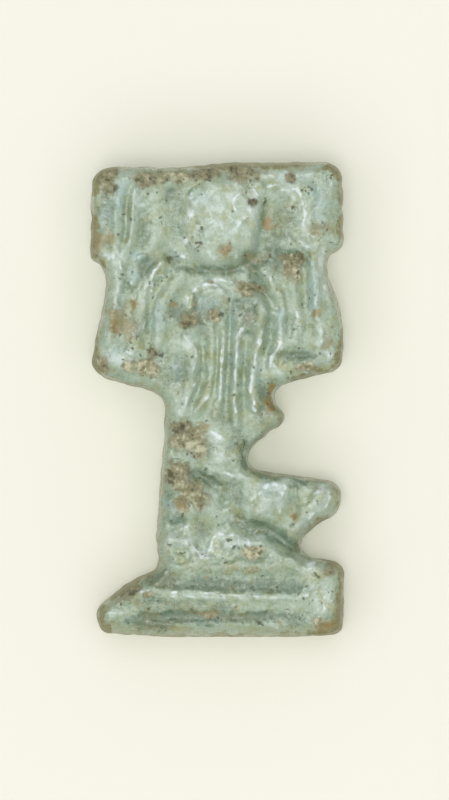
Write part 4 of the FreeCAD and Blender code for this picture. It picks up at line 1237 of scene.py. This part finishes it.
def rim_colour(nodes):
    """Olive paste where the glaze is worn through, speckled dark and pale."""
    level = nodes.level(0.0, RIM_SWINGS)
    darker = nodes.mix(nodes.ramp(level, *RIM_TO_OLIVE), RIM_DARK, RIM_OLIVE)
    return nodes.mix(nodes.ramp(level, *RIM_TO_PALE), darker, RIM_PALE)


def glaze_colour(nodes):
    """Pale glaze with painted sheen on the ridges, green where it pooled and where shade is painted, mottled
    all over.
    """
    # Green of pooled glaze and painted shade in the hollows
    level = nodes.level(nodes.share("pool_and_shade"), POOL_AND_SHADE_SWINGS)
    depth = nodes.ramp(level, *MID_TO_POOL_AND_SHADE)
    pale = nodes.mix(nodes.ramp(level, *PALE_AND_SHEEN_TO_MID), GLAZE_PALE_AND_SHEEN, GLAZE_MID)
    glaze = nodes.mix(depth, pale, GLAZE_POOL_AND_SHADE)
    olive = nodes.ramp(nodes.noise("olive patches"), *TO_OLIVE)
    glaze = nodes.mix(olive, glaze, nodes.mix(depth, GLAZE_OLIVE, OLIVE_POOL_AND_SHADE))
    blue = nodes.level(nodes.sum("MULTIPLY", nodes.share("blue"), BLUE_ZONE_SHARE), BLUE_SWINGS)
    return nodes.mix(nodes.ramp(blue, *TO_BLUE), glaze, GLAZE_BLUE)


def faience():
    """Glossy worn glaze with painted highlights on the crests, an olive rim, side walls in paste colour with
    painted shade, stains, pits and crust.
    """
    nodes = Nodes("faience")
    colour = glaze_colour(nodes)
    paste = rim_colour(nodes)
    shade = nodes.ramp(nodes.level(0.0, SHADE_SWINGS), *TO_STAIN_DARK)
    coat_colours = {
        # White of the painted highlights on the crests
        "painted_highlight": PAINTED_HIGHLIGHT_COLOUR,
        "rim": paste,
        # Paste colour on the side walls, partly painted shade
        "wall_paste_and_shade": paste,
        "tan": nodes.mix(shade, TAN, STAIN_DARK),
        "rust": nodes.mix(shade, RUST, STAIN_DARK),
        "crust": crust_colour(nodes),
        "pit": SPECK,
    }
    for name, (swings, *cover) in COATS.items():
        level = nodes.level(nodes.share(name), swings)
        colour = nodes.mix(nodes.ramp(level, *cover), colour, coat_colours[name])
    dirt = nodes.sum("ADD", nodes.noise("dirt"), nodes.sum("MULTIPLY", nodes.share("rim"), DIRT_ON_RIM))
    colour = nodes.mix(nodes.ramp(dirt, *TO_DIRT), colour, SPECK)

    crusty = nodes.ramp(nodes.level(nodes.share("crust"), RAGGED), *CRUST_WEAR)
    wear = nodes.sum("MAXIMUM", crusty, nodes.sum("MULTIPLY", nodes.share("rim"), RIM_WEAR))
    wear = nodes.sum("MAXIMUM", wear, nodes.share("pit"))
    patches = nodes.ramp(nodes.noise("gloss patches"), *GLOSS_PATCHES)
    roughness = nodes.sum("ADD", nodes.ramp(wear, *GLAZE_ROUGHNESS), patches)

    skin = nodes.bump(nodes.noise("skin"), SKIN_BUMP_MM)
    pores = nodes.bump(nodes.noise("grains"), PORE_BUMP_MM, skin)
    gritty = nodes.bump(nodes.sum("MULTIPLY", nodes.noise("grit"), wear), GRIT_BUMP_MM, pores)
    return nodes.finished(colour, roughness, gritty)


def loop_glaze():
    """The same glaze, duller and earth-stained, for the loop behind."""
    nodes = Nodes("loop_faience")
    wear = nodes.ramp(nodes.noise("loop wear"), *LOOP_WEAR)
    colour = nodes.mix(nodes.ramp(nodes.noise("loop mottle"), *LOOP_MOTTLE), GLAZE_MID, GLAZE_POOL_AND_SHADE)
    colour = nodes.mix(wear, colour, RIM_OLIVE)
    colour = nodes.mix(nodes.ramp(nodes.noise("loop specks"), *LOOP_SPECKS), colour, SPECK)
    normal = nodes.bump(nodes.noise("loop skin"), LOOP_BUMP_MM)
    return nodes.finished(colour, nodes.ramp(wear, *LOOP_ROUGHNESS), normal)


def table_paper():
    """Plain pale surface, seen from its front only."""
    nodes = Nodes("table_paper")
    nodes.feed(nodes.shader.inputs["Base Color"], TABLE_ALBEDO)
    nodes.feed(nodes.shader.inputs["Roughness"], 1.0)
    nodes.feed(nodes.shader.inputs["Specular IOR Level"], 0.0)
    choice = nodes.add("ShaderNodeMixShader")
    nodes.feed(choice.inputs[0], nodes.add("ShaderNodeNewGeometry").outputs["Backfacing"])
    nodes.feed(choice.inputs[1], nodes.shader.outputs["BSDF"])
    nodes.feed(choice.inputs[2], nodes.add("ShaderNodeBsdfTransparent").outputs["BSDF"])
    nodes.feed(nodes.tree.nodes["Material Output"].inputs["Surface"], choice.outputs[0])
    return nodes.material


# Stage, camera and lamps

def resting_table():
    """Pale surface that the amulet lies on, touching its loop and the back of its plinth."""
    radius = (LOOP_HIGH[2] - LOOP_LOW[2]) / 2
    offset = BACK_MM + TABLE_GAP_MM - (LOOP_HIGH[1] - radius)
    rise = (LOOP_HIGH[2] + LOOP_LOW[2]) / 2
    lean = math.asin((radius + TABLE_GAP_MM) / math.hypot(offset, rise)) - math.atan2(offset, rise)
    half = TABLE_SIZE_MM / 2
    corners = []
    for across, up in ((-half, -half), (half, -half), (half, half), (-half, half)):
        corners.append((across, BACK_MM + TABLE_GAP_MM + up * math.sin(lean), up * math.cos(lean)))
    table = mesh_object("table", corners, [(0, 1, 2, 3)])
    table.data.materials.append(table_paper())
    table.visible_shadow = False


def studio_world():
    """Soft even light; the camera sees the colour of the table."""
    world = bpy.data.worlds.new("studio")
    bpy.context.scene.world = world
    world.use_nodes = True
    tree = world.node_tree
    light = tree.nodes["Background"]
    light.inputs["Color"].default_value = WORLD_COLOUR
    light.inputs["Strength"].default_value = WORLD_LEVEL
    seen = tree.nodes.new("ShaderNodeBackground")
    seen.inputs["Color"].default_value = TABLE_COLOUR
    seen.inputs["Strength"].default_value = 1.0
    path = tree.nodes.new("ShaderNodeLightPath")
    share = path.outputs["Is Camera Ray"]
    for ray in ("Is Glossy Ray", "Is Transmission Ray"):
        larger = tree.nodes.new("ShaderNodeMath")
        larger.operation = "MAXIMUM"
        tree.links.new(share, larger.inputs[0])
        tree.links.new(path.outputs[ray], larger.inputs[1])
        share = larger.outputs[0]
    choice = tree.nodes.new("ShaderNodeMixShader")
    for socket, source in zip(choice.inputs, (share, light.outputs[0], seen.outputs[0])):
        tree.links.new(source, socket)
    tree.links.new(choice.outputs[0], tree.nodes["World Output"].inputs["Surface"])


def studio_lamps():
    """Distant round softboxes, some without a mark in the gloss and some seen only there."""
    for name, (strength, width, direction, shows_matt, shows_gloss) in LAMPS.items():
        lamp = bpy.data.lights.new(name, "SUN")
        lamp.energy = strength
        lamp.angle = math.radians(width)
        holder = bpy.data.objects.new(name, lamp)
        holder.rotation_mode = "QUATERNION"
        holder.rotation_quaternion = Vector(direction).to_track_quat("Z", "Y")
        holder.visible_diffuse = shows_matt
        holder.visible_glossy = shows_gloss
        bpy.context.scene.collection.objects.link(holder)


def photo_camera():
    """Camera square on to the front, framed as the photograph is."""
    camera = bpy.data.cameras.new("photo_camera")
    camera.type = "ORTHO"
    camera.ortho_scale = PHOTO_HEIGHT * MM_PER_PIXEL * MM
    camera.clip_start = MM
    camera.clip_end = 2 * CAMERA_DISTANCE_MM * MM
    holder = bpy.data.objects.new("photo_camera", camera)
    across = (VIEW_CENTRE_COLUMN - CENTRE_COLUMN) * MM_PER_PIXEL
    up = (FOOT_ROW - VIEW_CENTRE_ROW) * MM_PER_PIXEL
    holder.location = Vector((across, -CAMERA_DISTANCE_MM, up)) * MM
    holder.rotation_euler = (math.pi / 2, 0, 0)
    bpy.context.scene.collection.objects.link(holder)
    bpy.context.scene.camera = holder


photo_camera()
body = amulet_body()
body.data.materials.append(faience())
loop = suspension_loop()
loop.data.materials.append(loop_glaze())
for piece in (body, loop):
    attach(piece, "root")
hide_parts("suspension_loop")
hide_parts(*[name for name in frame["nodes"] if name != "suspension_loop"])
resting_table()
studio_world()
studio_lamps()
bpy.context.scene.view_settings.view_transform = "Standard"
